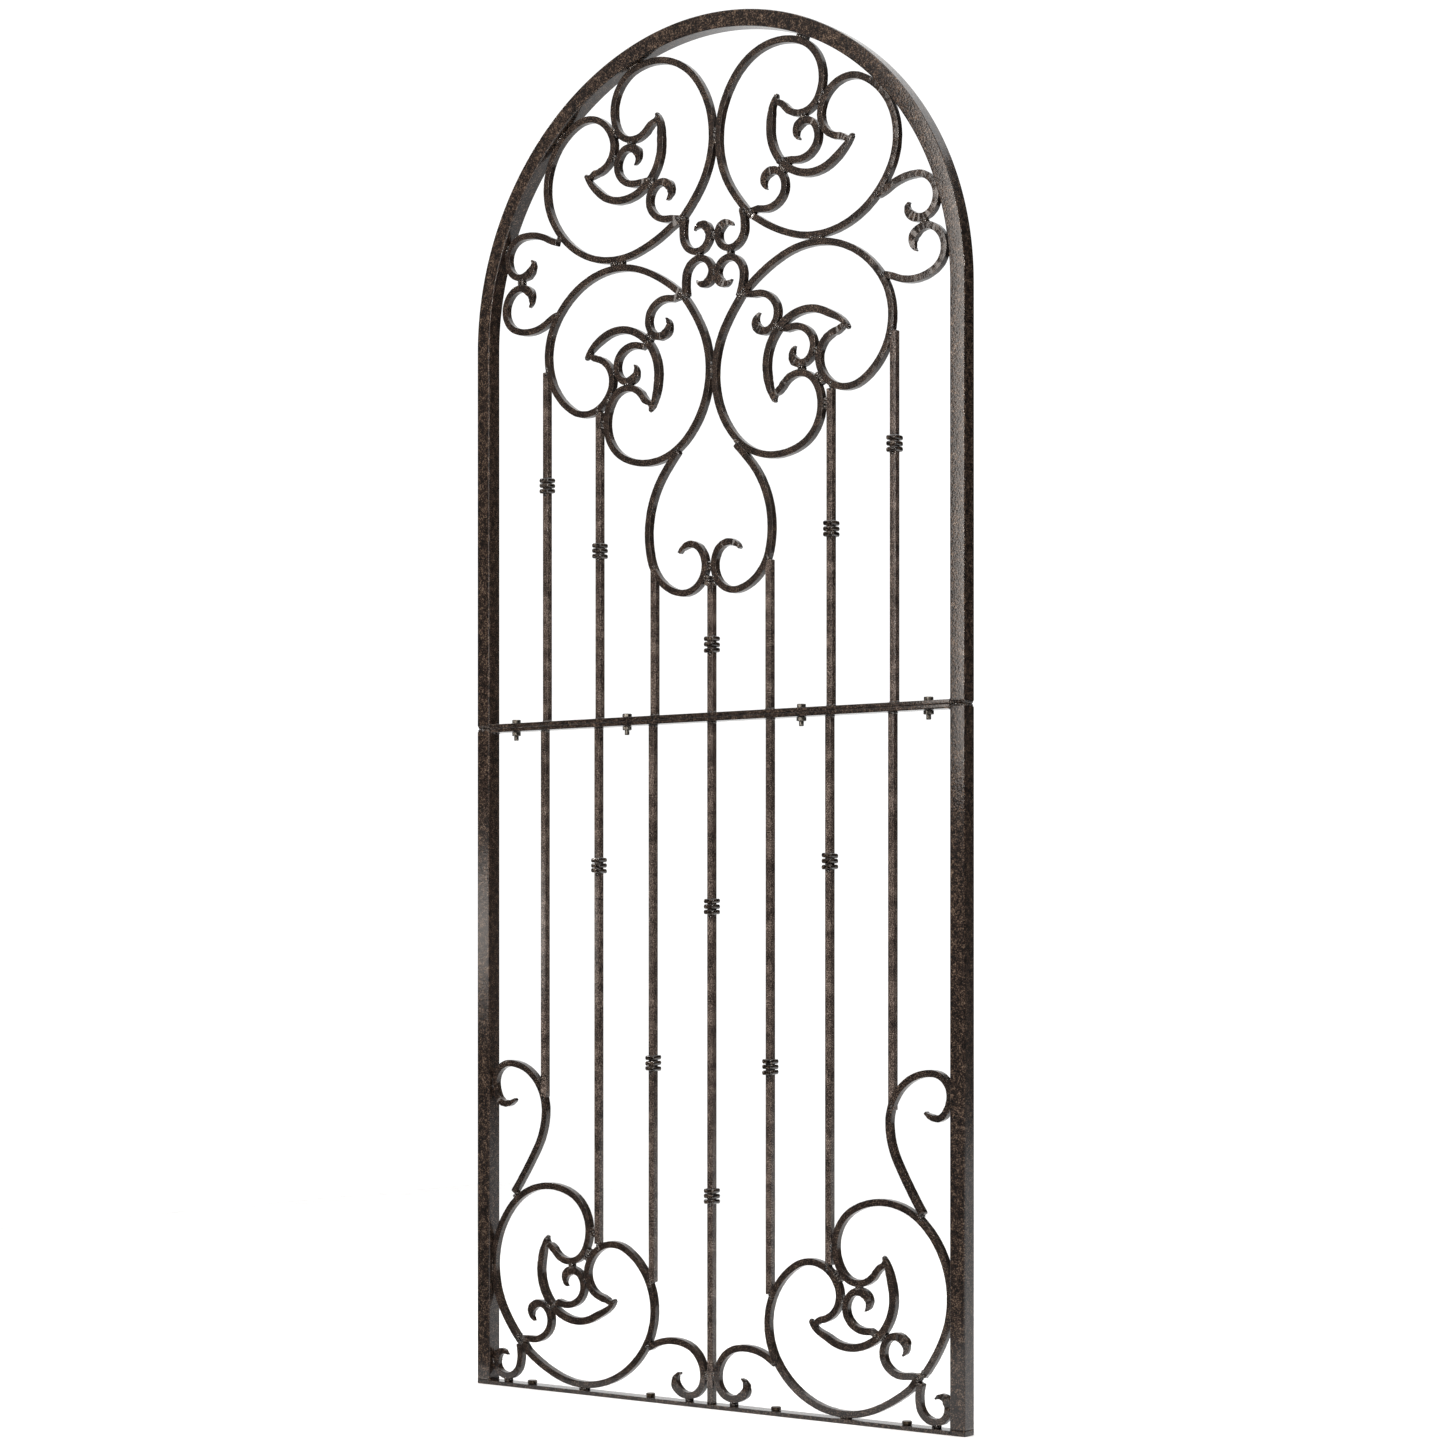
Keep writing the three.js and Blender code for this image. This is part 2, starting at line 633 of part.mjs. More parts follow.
const LOWER_BARS = [
  { name: 'left_3', x: -326.5, low: 458, collars: [], weldedTo: ['s_scroll_left'] },
  {
    name: 'left_2', x: -218.5, low: 234, collars: [0.733],
    weldedTo: ['lying_loop_bottom_left', 'upright_loop_bottom_left'],
  },
  { name: 'left_1', x: -112, low: 182, collars: [0.393], weldedTo: ['lying_loop_bottom_left'] },
  {
    name: 'middle', x: 0, low: null, collars: [0.729, 0.304],
    weldedTo: ['centre_scroll_left', 'centre_scroll_right'],
  },
  { name: 'right_1', x: 108.5, low: 178, collars: [0.395], weldedTo: ['lying_loop_bottom_right'] },
  {
    name: 'right_2', x: 216, low: 228, collars: [0.735],
    weldedTo: ['lying_loop_bottom_right', 'upright_loop_bottom_right'],
  },
  { name: 'right_3', x: 326.5, low: 458, collars: [], weldedTo: ['s_scroll_right'] },
];

function addUpright(name, x, z0, z1, collars, weldedTo) {
  const line = finer([{ x, z: z0 }, { x, z: z1 }]);
  const rings = collars.map((share) => z0 + share * (z1 - z0));
  addPiece(name, joined(uprightBar(x, z0, z1, rings), ...weldsTo(line, weldedTo)));
}

for (const { name, x, top, collars, weldedTo } of UPPER_BARS) {
  const z0 = UPPER_RAIL.z1 + GAP;
  addUpright(`upper_bar_${name}`, x * SCALE, z0, upperZ(top), collars, weldedTo);
}
for (const { name, x, low, collars, weldedTo } of LOWER_BARS) {
  const z0 = low === null ? FLAT_BAR + GAP : lowerZ(low);
  addUpright(`lower_bar_${name}`, x * SCALE, z0, LOWER_RAIL.z0 - GAP, collars, weldedTo);
}

export default trellis;
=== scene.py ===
import math
import random

import bmesh
import bpy
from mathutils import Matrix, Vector, noise


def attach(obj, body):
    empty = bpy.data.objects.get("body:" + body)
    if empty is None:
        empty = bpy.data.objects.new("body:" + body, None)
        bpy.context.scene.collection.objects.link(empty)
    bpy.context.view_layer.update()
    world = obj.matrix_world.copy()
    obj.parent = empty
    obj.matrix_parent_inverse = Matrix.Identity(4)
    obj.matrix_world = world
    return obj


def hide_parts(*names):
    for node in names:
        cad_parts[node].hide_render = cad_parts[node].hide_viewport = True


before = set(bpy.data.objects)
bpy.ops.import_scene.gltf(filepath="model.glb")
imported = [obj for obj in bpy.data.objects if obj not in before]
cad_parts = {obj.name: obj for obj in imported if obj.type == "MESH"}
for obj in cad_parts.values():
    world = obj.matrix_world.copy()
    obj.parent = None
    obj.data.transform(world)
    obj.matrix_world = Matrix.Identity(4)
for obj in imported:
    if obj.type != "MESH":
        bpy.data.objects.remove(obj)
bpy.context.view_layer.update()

# A garden trellis arch: two welded panels of square bar and scrolls in a square tube frame.
# Sizes are written in millimetres and turned to metres where a mesh is made.
# X runs across the trellis, Y through its depth, Z up, and the ground is z = 0.

MM = 0.001

# ---------------------------------------------------------------- sizes

WIDTH = 914.0  # outside of the uprights
HEIGHT = 2095.0  # ground to the top of the round head
TUBE = 25.4
TUBE_CORNER = 1.8
BAR = 10.0
COAT = 0.2  # thickness of the powder coat on each face of a bar
BAR_CORNER = 0.6  # drawn square bar has slightly soft edges
FLAT_BAR = 6.4
FOOT_HEIGHT = 10.0
SEAM = 1038.7  # height where the two panels meet
GAP = 0.3
TIP_EASE = 45.0  # length over which a crescent bends to meet its loop
ARCH_CENTRE = HEIGHT - WIDTH / 2
TUBE_LINE = WIDTH / 2 - TUBE / 2  # from the middle to the centre line of the frame tube
OPENING = WIDTH - 2 * TUBE

MIDDLE_BOLTS = (-386, -163, 165, 388)
BASE_BOLTS = (-353, -117, 119, 351)
HEX_FLATS = 13.0
HEAD_HEIGHT = 5.5
NUT_HEIGHT = 6.0
THREAD = 8.0
THREAD_BELOW_NUT = 7.5

chance = random.Random(4)

# ---------------------------------------------------------------- centre lines of bent bars


def bend(start, heading, arcs, turn=1, lead=0.0):
    """Points [x, z, angle] along a bar bent to a list of (radius, degrees) arcs."""
    x, z = start
    angle = math.radians(heading)
    line = [(x - lead * math.cos(angle), z - lead * math.sin(angle), angle)] if lead else []
    line.append((x, z, angle))
    for radius, degrees in arcs:
        length = radius * math.radians(abs(degrees))
        steps = max(2, math.ceil(abs(degrees) / 4), math.ceil(length / 3.5))
        swing = turn * math.radians(degrees) / steps
        chord = 2 * radius * math.sin(abs(swing) / 2)
        for _ in range(steps):
            x += chord * math.cos(angle + swing / 2)
            z += chord * math.sin(angle + swing / 2)
            angle += swing
            line.append((x, z, angle))
    return line


def led_from(point, line):
    """The line with a straight run-in from a point."""
    x, z, _ = line[0]
    lead = math.atan2(z - point[1], x - point[0])
    return [(point[0], point[1], lead)] + line


def place(line, move, flip):
    """The line mirrored across either axis and moved."""
    placed = []
    for x, z, angle in line:
        turned = math.atan2(math.sin(angle) * flip[1], math.cos(angle) * flip[0])
        placed.append((move[0] + x * flip[0], move[1] + z * flip[1], turned))
    return placed


def straight(x0, z0, x1, z1, step):
    """Points [x, z, angle] along a straight bar, about a step apart."""
    length = math.hypot(x1 - x0, z1 - z0)
    count = max(2, round(length / step))
    angle = math.atan2(z1 - z0, x1 - x0)
    return [
        (x0 + (x1 - x0) * i / count, z0 + (z1 - z0) * i / count, angle)
        for i in range(count + 1)
    ]


def closest(line_a, line_b):
    """The closest points of two lines, as (x, z, angle of the first line), (x, z)."""
    best = None
    for a in line_a:
        for b in line_b:
            apart = (a[0] - b[0]) ** 2 + (a[1] - b[1]) ** 2
            if best is None or apart < best[0]:
                best = (apart, a, b)
    return best[1], best[2]


def drawn_to(line, points):
    """The line with its last stretch eased over, so that it ends on the nearest of the points."""
    end_x, end_z, _ = line[-1]
    goal = min(points, key=lambda p: math.hypot(p[0] - end_x, p[1] - end_z))
    left = 0.0
    eased = [(goal[0], goal[1], line[-1][2])]
    for (x, z, angle), (next_x, next_z, _) in zip(line[-2::-1], line[:0:-1]):
        left += math.hypot(next_x - x, next_z - z)
        share = max(0.0, 1 - left / TIP_EASE)
        share = share * share * (3 - 2 * share)
        eased.append((x + share * (goal[0] - end_x), z + share * (goal[1] - end_z), angle))
    return eased[::-1]


# ---------------------------------------------------------------- how bar ends are worked

# Each function here gives the bar's width and depth, as shares of its full size, and how far its
# middle moves towards the inside of the bend, at a distance in millimetres from the end.

BROKEN_EDGE = 0.6
GROUND_LENGTH = 4.5  # tube ground back at the seam
GROUND_DEEPEST = 1.5  # the last of it, ground deepest
FLICK_LENGTH = 26
SPREAD_LENGTH = 56  # of a comma, from where it starts to widen
BARB_LENGTH = 26
CRESCENT_TIP = 44


def cut_end(left):
    """A sawn end: full width, with its edge just broken."""
    share = 1.0 if left > BROKEN_EDGE else 0.9
    return share, share, 0.0


def square_end(left):
    """An end that butts another tube and has paint run over the joint."""
    return 1.0, 1.0, 0.0


def ground_end(left):
    """A tube end ground back all round to take the weld at the seam."""
    if left > GROUND_LENGTH:
        return 1.0, 1.0, 0.0
    share = 0.86 if left < GROUND_DEEPEST else 0.9
    return share, share, 0.0


def flick_end(left):
    """Drawn down under the hammer to a thin flick."""
    if left > FLICK_LENGTH:
        return 1.0, 1.0, 0.0
    drawn = math.sin(math.pi / 2 * left / FLICK_LENGTH)
    return 0.42 + 0.58 * drawn, 0.8 + 0.2 * drawn, 0.0


def comma_end(left):
    """Spread wider than the bar by hammering, then closed to a barb that turns inwards."""
    if left > SPREAD_LENGTH:
        return 1.0, 1.0, 0.0
    if left > BARB_LENGTH:
        widening = SPREAD_LENGTH - BARB_LENGTH
        spread = 0.5 - 0.5 * math.cos(math.pi * (SPREAD_LENGTH - left) / widening)
        return 1.0 + 0.34 * spread, 1.0 - 0.12 * spread, 0.0
    point = left / BARB_LENGTH
    return 0.1 + 1.24 * point ** 0.75, 0.5 + 0.38 * point, 3.6 * (1 - point) ** 1.5


def crescent_end(left):
    """Full in the body of the crescent and drawn down over its last stretch to the tip."""
    if left > CRESCENT_TIP:
        return 1.12, 1.0, 0.0
    drawn = math.sin(math.pi / 2 * left / CRESCENT_TIP)
    return 0.5 + 0.62 * drawn, 0.85 + 0.15 * drawn, 0.0


# ---------------------------------------------------------------- meshes

DENTED_LENGTH = 70  # of a worked end, where the hammer marks are strongest
DENT_SCALE = 0.19  # hammer marks to a millimetre
LEAST_DENTED = 0.25  # share of the marks that the rest of the bar has
END_INSET = 0.8


def rounded_square(size, corner, points):
    """Corner points [across, depth] of a square bar with rounded edges."""
    inner = size / 2 - corner
    section = []
    for quarter, (side, face) in enumerate(((1, 1), (-1, 1), (-1, -1), (1, -1))):
        for k in range(points):
            angle = math.radians(90 * quarter + 90 * k / (points - 1))
            across = side * inner + corner * math.cos(angle)
            depth = face * inner + corner * math.sin(angle)
            section.append((across, depth))
    return section


def bends_left(line):
    """1 where the end of the line turns to its left, and -1 where it turns to its right."""
    turned = math.sin(line[-1][2] - line[max(0, len(line) - 8)][2])
    return 1 if turned > 0 else -1


def ring_faces(rings, count):
    """Faces between rings of count points each; the first and the last ring are closed."""
    faces = []
    for i in range(rings - 1):
        for j in range(count):
            k = (j + 1) % count
            faces.append((i * count + j, i * count + k, (i + 1) * count + k, (i + 1) * count + j))
    faces.append(tuple(range(count - 1, -1, -1)))
    last = (rings - 1) * count
    faces.append(tuple(last + j for j in range(count)))
    return faces


def sweep(line, section, start=cut_end, end=cut_end, depth_shift=0.0, dents=0.0):
    """Vertices and faces of a bar that follows a line; each end is worked to its own shape.

    Dents are the hammer marks, in millimetres, where an end was spread or drawn down.
    """
    along = [0.0]
    for (x0, z0, _), (x1, z1, _) in zip(line, line[1:]):
        along.append(along[-1] + math.hypot(x1 - x0, z1 - z0))
    total = along[-1]
    inward = -bends_left(line)
    verts = []
    for (x, z, angle), at in zip(line, along):
        left = total - at
        wide, deep, aside = start(at) if at < total / 2 else end(left)
        worked = max(0.0, 1 - left / DENTED_LENGTH)
        marked = dents * (LEAST_DENTED + (1 - LEAST_DENTED) * worked)
        for across, depth in section:
            spot = Vector((x + across, depth, z)) * DENT_SCALE
            a = across * wide + inward * aside + marked * noise.noise(spot)
            d = depth * deep + depth_shift + marked * noise.noise(spot + Vector((9, 9, 9)))
            verts.append((x + math.sin(angle) * a, d, z - math.cos(angle) * a))
    return verts, ring_faces(len(line), len(section))


def with_ends(line, inset=END_INSET):
    """The line with an extra point just inside each end, so that a sawn edge can be broken."""
    (x0, z0, a0), (x1, z1, a1) = line[0], line[-1]
    first = (x0 + inset * math.cos(a0), z0 + inset * math.sin(a0), a0)
    last = (x1 - inset * math.cos(a1), z1 - inset * math.sin(a1), a1)
    return [line[0], first] + line[1:-1] + [last, line[-1]]


def joined(parts):
    """One vertex and face list from several."""
    verts, faces = [], []
    for part_verts, part_faces in parts:
        base = len(verts)
        verts += part_verts
        faces += [tuple(base + i for i in face) for face in part_faces]
    return verts, faces


def add_piece(name, parts, finish, nodes):
    """A named piece of the trellis, riding on the frame and standing for its CAD nodes."""
    verts, faces = joined(parts)
    mesh = bpy.data.meshes.new(name)
    mesh.from_pydata([(x * MM, y * MM, z * MM) for x, y, z in verts], [], faces)
    mesh.polygons.foreach_set("use_smooth", [True] * len(mesh.polygons))
    mesh.materials.append(finish)
    mesh.validate()
    mesh.update()
    piece = bpy.data.objects.new(name, mesh)
    bpy.context.scene.collection.objects.link(piece)
    flats = piece.modifiers.new("even_flats", "WEIGHTED_NORMAL")
    flats.keep_sharp = True
    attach(piece, "root")
    if nodes:
        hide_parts(*nodes)


# ---------------------------------------------------------------- finishes

SPECKLE = 1.7  # across each fleck of the coat, in millimetres
PEEL = 3.0  # across each ripple of its gloss
ZINC_BLOTCH = 3.0


def linear(hex_colour):
    """An sRGB hex colour as linear red, green, blue and alpha."""
    channels = [int(hex_colour[i:i + 2], 16) / 255 for i in (0, 2, 4)]
    return [c / 12.92 if c <= 0.04045 else ((c + 0.055) / 1.055) ** 2.4 for c in channels] + [1.0]


def add_node(tree, kind, settings=None, links=None, stops=()):
    """Adds a node, sets its properties and sockets, links other sockets into it and, on a colour
    ramp, places its stops, each a position and a hex colour."""
    node = tree.nodes.new(kind)
    for key, value in (settings or {}).items():
        if isinstance(key, str) and hasattr(node, key):
            setattr(node, key, value)
        else:
            node.inputs[key].default_value = value
    for socket, source in (links or {}).items():
        tree.links.new(source, node.inputs[socket])
    for number, (position, colour) in enumerate(stops):
        elements = node.color_ramp.elements
        stop = elements[number] if number < 2 else elements.new(position)
        stop.position = position
        stop.color = linear(colour)
    return node


def new_material(name):
    """A material with an empty node tree and its output."""
    material = bpy.data.materials.new(name)
    material.use_nodes = True
    tree = material.node_tree
    tree.nodes.clear()
    output = add_node(tree, "ShaderNodeOutputMaterial")
    return material, tree, output


def per_metre(size_mm):
    """Noise scale whose features are about the given size."""
    return 1000.0 / size_mm


def bronze_vein_coat(name, colours, patch_mm, patch_share, roughness, top_roughness, gloss):
    """Vein powder coat baked on mild steel.

    It reads as nearly black brown under a fine warm bronze speckle a millimetre or two across, in
    patches some millimetres wide, and its glossy top goes pale where it is seen at a low angle.
    """
    material, tree, output = new_material(name)
    place_on = add_node(tree, "ShaderNodeTexCoord")
    speckle = add_node(
        tree, "ShaderNodeTexNoise",
        {"Scale": per_metre(SPECKLE), "Detail": 4.0, "Roughness": 0.7},
        {"Vector": place_on.outputs["Object"]},
    )
    patches = add_node(
        tree, "ShaderNodeTexNoise",
        {"Scale": per_metre(patch_mm), "Detail": 3.0, "Roughness": 0.55},
        {"Vector": place_on.outputs["Object"]},
    )
    spread = add_node(
        tree, "ShaderNodeMath", {"operation": "MULTIPLY_ADD", 1: patch_share},
        {0: patches.outputs["Fac"], 2: speckle.outputs["Fac"]},
    )
    middle = 0.5 + 0.5 * patch_share
    dark, body, light, fleck = colours
    tint = add_node(
        tree, "ShaderNodeValToRGB", {}, {"Fac": spread.outputs[0]},
        [(middle - 0.07, dark), (middle + 0.15, fleck), (middle, body), (middle + 0.06, light)],
    )
    rough = add_node(
        tree, "ShaderNodeMapRange",
        {"From Min": 0.35, "From Max": 0.65, "To Min": roughness - 0.1, "To Max": roughness + 0.12},
        {"Value": speckle.outputs["Fac"]},
    )
    peel = add_node(
        tree, "ShaderNodeTexNoise",
        {"Scale": per_metre(PEEL), "Detail": 3.0, "Roughness": 0.55},
        {"Vector": place_on.outputs["Object"]},
    )
    relief = add_node(
        tree, "ShaderNodeBump", {"Strength": 0.4, "Distance": 0.0003},
        {"Height": peel.outputs["Fac"]},
    )
    surface = add_node(
        tree, "ShaderNodeBsdfPrincipled",
        {
            "Coat Weight": gloss, "Coat Roughness": top_roughness, "Coat IOR": 1.45,
            "Specular IOR Level": 0.12,
        },
        {
            "Base Color": tint.outputs["Color"], "Roughness": rough.outputs["Result"],
            "Normal": relief.outputs["Normal"], "Coat Normal": relief.outputs["Normal"],
        },
    )
    tree.links.new(surface.outputs["BSDF"], output.inputs["Surface"])
    return material


def zinc_plate(name, dull, bright, stain):
    """Zinc electroplated on rolled steel bolts: soft grey metal with yellowish blotches."""
    material, tree, output = new_material(name)
    place_on = add_node(tree, "ShaderNodeTexCoord")
    blotch = add_node(
        tree, "ShaderNodeTexNoise",
        {"Scale": per_metre(ZINC_BLOTCH), "Detail": 4.0, "Roughness": 0.6},
        {"Vector": place_on.outputs["Object"]},
    )
    tint = add_node(
        tree, "ShaderNodeValToRGB", {}, {"Fac": blotch.outputs["Fac"]},
        [(0.34, stain), (0.68, bright), (0.5, dull)],
    )
    rough = add_node(
        tree, "ShaderNodeMapRange",
        {"From Min": 0.3, "From Max": 0.7, "To Min": 0.28, "To Max": 0.5},
        {"Value": blotch.outputs["Fac"]},
    )
    relief = add_node(
        tree, "ShaderNodeBump", {"Strength": 0.3, "Distance": 0.0002},
        {"Height": blotch.outputs["Fac"]},
    )
    surface = add_node(
        tree, "ShaderNodeBsdfPrincipled",
        {"Metallic": 1.0},
        {
            "Base Color": tint.outputs["Color"], "Roughness": rough.outputs["Result"],
            "Normal": relief.outputs["Normal"],
        },
    )
    tree.links.new(surface.outputs["BSDF"], output.inputs["Surface"])
    return material


coated_bar = bronze_vein_coat(
    "vein_powder_coated_bar", ("030202", "17100d", "2e231d", "68594d"), 14.0, 0.2, 0.45, 0.05, 0.8,
)
# Painted light: a lighter copy of the same coat, which paints onto the straight bars the brightness
# that light gives them; the real bars wear the same coat as the scrolls.
upright_coat_painted_light = bronze_vein_coat(
    "vein_powder_coat_painted_light_straight_bar", ("070505", "302722", "5a4e47", "8e8178"), 20.0, 0.25,
    0.42, 0.05, 0.8,
)
coated_tube = bronze_vein_coat(
    "vein_powder_coated_tube", ("030202", "19110e", "32261f", "6a5a4c"), 8.0, 0.3, 0.42, 0.06, 0.8,
)
coated_weld = bronze_vein_coat(
    "vein_powder_coated_weld", ("030202", "110c0a", "2a211b", "6c6156"), 9.0, 0.3, 0.14, 0.06, 1.0,
)
plated_bolt = zinc_plate("zinc_plated_bolt", "5c5954", "96938b", "37322b")
darkened_bolt = zinc_plate("darkened_zinc_bolt", "3c332b", "6b5f52", "241d18")

# ---------------------------------------------------------------- frame

ARCH_STEP = 1.5  # degrees
LEG_STEP = 200
UPRIGHT_STEP = 170
BLOCK_STEP = 4
RAIL_STEP = 60
GROUND_INSETS = (5.0, 2.0)  # where a tube has extra points, so that it can be ground back
PAINTED_OVER = 0.8  # how far an upright's paint runs down over its foot block
RAIL_CORNER = 0.9

tube_section = rounded_square(TUBE, TUBE_CORNER, 4)
bar_section = rounded_square(BAR + 2 * COAT, BAR_CORNER, 3)


def arch_line():
    """Up one side, over the half circle and down the other."""
    foot = SEAM + GAP / 2
    heights = (foot, foot + LEG_STEP, foot + 2 * LEG_STEP, ARCH_CENTRE)
    up = [(-TUBE_LINE, z, math.pi / 2) for z in heights]
    over = []
    for k in range(1, round(180 / ARCH_STEP)):
        angle = math.radians(180 - ARCH_STEP * k)
        over.append((
            TUBE_LINE * math.cos(angle), ARCH_CENTRE + TUBE_LINE * math.sin(angle),
            angle - math.pi / 2,
        ))
    down = [(TUBE_LINE, z, -math.pi / 2) for z in reversed(heights)]
    return up + over + down


def tube(line, start, end):
    """A tube along a line, with the extra points that its ground ends need."""
    for inset in GROUND_INSETS:
        line = with_ends(line, inset)
    return sweep(line, tube_section, start, end)


add_piece(
    "arch_tube", [tube(arch_line(), ground_end, ground_end)],
    coated_tube, ["arch_frame"],
)
for side, x in (("left", -TUBE_LINE), ("right", TUBE_LINE)):
    shaft = straight(x, FOOT_HEIGHT - PAINTED_OVER, x, SEAM - GAP / 2, UPRIGHT_STEP)
    add_piece(
        f"upright_tube_{side}", [tube(shaft, square_end, ground_end)],
        coated_tube, [f"upright_{side}"],
    )
    block = straight(x, 0, x, FOOT_HEIGHT, BLOCK_STEP)
    add_piece(
        f"foot_block_{side}", [sweep(with_ends(block), tube_section)],
        coated_tube, [f"foot_{side}"],
    )

rail_reach = OPENING / 2 - GAP


def flat_rail(z0, z1):
    """A level flat bar as deep as the tube, with softened edges."""
    half = (z1 - z0) / 2
    section = []
    for across, depth in rounded_square(2.0, 0.5, 3):
        side = math.copysign(1, across)
        face = math.copysign(1, depth)
        a = side * (half - RAIL_CORNER) + (across - side * 0.5) * 2 * RAIL_CORNER
        d = face * (TUBE / 2 - RAIL_CORNER) + (depth - face * 0.5) * 2 * RAIL_CORNER
        section.append((a, d))
    middle = (z0 + z1) / 2
    line = straight(-rail_reach, middle, rail_reach, middle, RAIL_STEP)
    return sweep(with_ends(line), section)


RAILS = {
    "upper_rail": (SEAM + GAP / 2, SEAM + GAP / 2 + FLAT_BAR),
    "lower_rail": (SEAM - GAP / 2 - FLAT_BAR, SEAM - GAP / 2),
    "base_rail": (0.0, FLAT_BAR),
}
for rail, (z0, z1) in RAILS.items():
    add_piece(f"{rail}_bar", [flat_rail(z0, z1)], coated_bar, [rail])

# ---------------------------------------------------------------- bolts and nuts

ROD_SIDES = 20
HEX_POINTS = 36
LOW_CHAMFER = 0.7
TOP_CHAMFER = 0.9
THREAD_PITCH = 1.25
THREAD_RISE = 0.6  # from a groove up to its ridge
THREAD_STOP = 0.2  # how far under the rails the thread ends
SINK = 0.2  # how far a rod runs into its head
# How far inside the thread's nominal radius each part of a rod is.
GROOVE = 0.7
RIDGE = 0.05
TIP = 0.9
SHANK = 0.2
BASE_SHANK = 0.3
BASE_ROD_END = 0.1  # height of a base bolt's rod above the ground


def turned(profile, x):
    """Rings of (radius, z) points about an upright axis at x."""
    verts = []
    for radius, z in profile:
        for k in range(ROD_SIDES):
            angle = 2 * math.pi * k / ROD_SIDES
            verts.append((x + radius * math.cos(angle), radius * math.sin(angle), z))
    return verts, ring_faces(len(profile), ROD_SIDES)


def hexagon(x, z0, z1, turn):
    """A hexagon with its top and bottom corners chamfered."""
    corner = HEX_FLATS / math.sqrt(3)
    profile = ((0.86, z0), (1.0, z0 + LOW_CHAMFER), (1.0, z1 - TOP_CHAMFER), (0.84, z1))
    verts = []
    for share, z in profile:
        for k in range(HEX_POINTS):
            angle = 2 * math.pi * k / HEX_POINTS
            edge = HEX_FLATS / 2 / math.cos((angle % (math.pi / 3)) - math.pi / 6)
            radius = edge if share == 1.0 else min(edge, corner * share * 1.06)
            verts.append((x + radius * math.cos(angle + turn), radius * math.sin(angle + turn), z))
    return verts, ring_faces(len(profile), HEX_POINTS)


def threaded_rod(x, z0, z1, plain_above):
    """A bolt's rod, with thread ridges below the plain length."""
    profile = [(THREAD / 2 - TIP, z0)]
    z = z0 + THREAD_RISE
    while z + THREAD_RISE < plain_above:
        profile += [(THREAD / 2 - GROOVE, z), (THREAD / 2 - RIDGE, z + THREAD_RISE)]
        z += THREAD_PITCH
    shank = THREAD / 2 - SHANK
    profile += [(shank, plain_above), (shank, z1)]
    return turned(profile, x)


upper_seat = RAILS["upper_rail"][1] + GAP
lower_seat = RAILS["lower_rail"][0] - GAP
for number, x in enumerate(MIDDLE_BOLTS, 1):
    turn = chance.uniform(0, math.pi / 3)
    low = lower_seat - NUT_HEIGHT - THREAD_BELOW_NUT
    head = hexagon(x, upper_seat, upper_seat + HEAD_HEIGHT, turn)
    rod = threaded_rod(x, low, upper_seat + SINK, lower_seat - THREAD_STOP)
    add_piece(
        f"panel_bolt_head_{number}", [head, rod], plated_bolt,
        [f"panel_bolt_{number}"],
    )
    nut = hexagon(x, lower_seat - NUT_HEIGHT, lower_seat, chance.uniform(0.2, 0.7))
    add_piece(f"panel_nut_body_{number}", [nut], plated_bolt, [f"panel_nut_{number}"])
for number, x in enumerate(BASE_BOLTS, 1):
    turn = chance.uniform(0, math.pi / 3)
    seat = FLAT_BAR + GAP
    head = hexagon(x, seat, seat + HEAD_HEIGHT, turn)
    shank = THREAD / 2 - BASE_SHANK
    rod = turned(((shank, BASE_ROD_END), (shank, seat + SINK)), x)
    add_piece(
        f"base_bolt_head_{number}", [head, rod], darkened_bolt,
        [f"base_bolt_{number}"],
    )

# ---------------------------------------------------------------- welds

SWELL = 0.22  # how far a lump is from round, as a share of its size
SWELL_SCALE = 1.6
GRAIN = 0.16  # and its finer roughness
GRAIN_SCALE = 3.6
WELD_STEP = 3  # between the points where a straight bar may be welded
LUMP_SPACING = 4.2  # along a weld between two bars
LUMP_WANDER = 0.8
LEAST_ACROSS = 3.4
ONTO_BAR = 3.2  # how far a weld runs onto each bar
KNOB_DEPTH = 0.46  # share of a bar's depth
HOLLOW_RUNS = 5  # lumps laid through the depth of the hollow at a tube end
HOLLOW_MARGIN = 4
HOLLOW_LUMP = (4.2, 2.8, 3.6)
BEADS_PER_FACE = 10  # round a tube end
BEAD_MARGIN = 2
BEAD_INSET = 2.3  # from the tube's outer face to the middle of a bead
BEAD_DEPTH = 1.8

# Where two bars were welded: a point on each, the heading of the first bar and the welded length.
welds = {}


def weld(group, line_a, line_b, length):
    """Marks a weld where two bars come closest."""
    a, b = closest(line_a, line_b)
    welds.setdefault(group, []).append((a[0], a[1], b[0], b[1], a[2], length))


def lump(centre, sizes, turn=0.0):
    """A rounded lump of run metal: an uneven ellipsoid turned in the plane of the panel."""
    seed = chance.uniform(0, 50)
    form = bmesh.new()
    bmesh.ops.create_icosphere(form, subdivisions=2, radius=1.0)
    cos, sin = math.cos(turn), math.sin(turn)
    verts = []
    for v in form.verts:
        rough = 1 + SWELL * noise.noise(v.co * SWELL_SCALE + Vector((seed, 0, 0)))
        rough += GRAIN * noise.noise(v.co * GRAIN_SCALE + Vector((0, seed, 0)))
        a = v.co.x * sizes[0] * rough
        d = v.co.y * sizes[1] * rough
        c = v.co.z * sizes[2] * rough
        verts.append((centre[0] + a * cos - c * sin, centre[1] + d, centre[2] + a * sin + c * cos))
    faces = [tuple(v.index for v in face.verts) for face in form.faces]
    form.free()
    return verts, faces


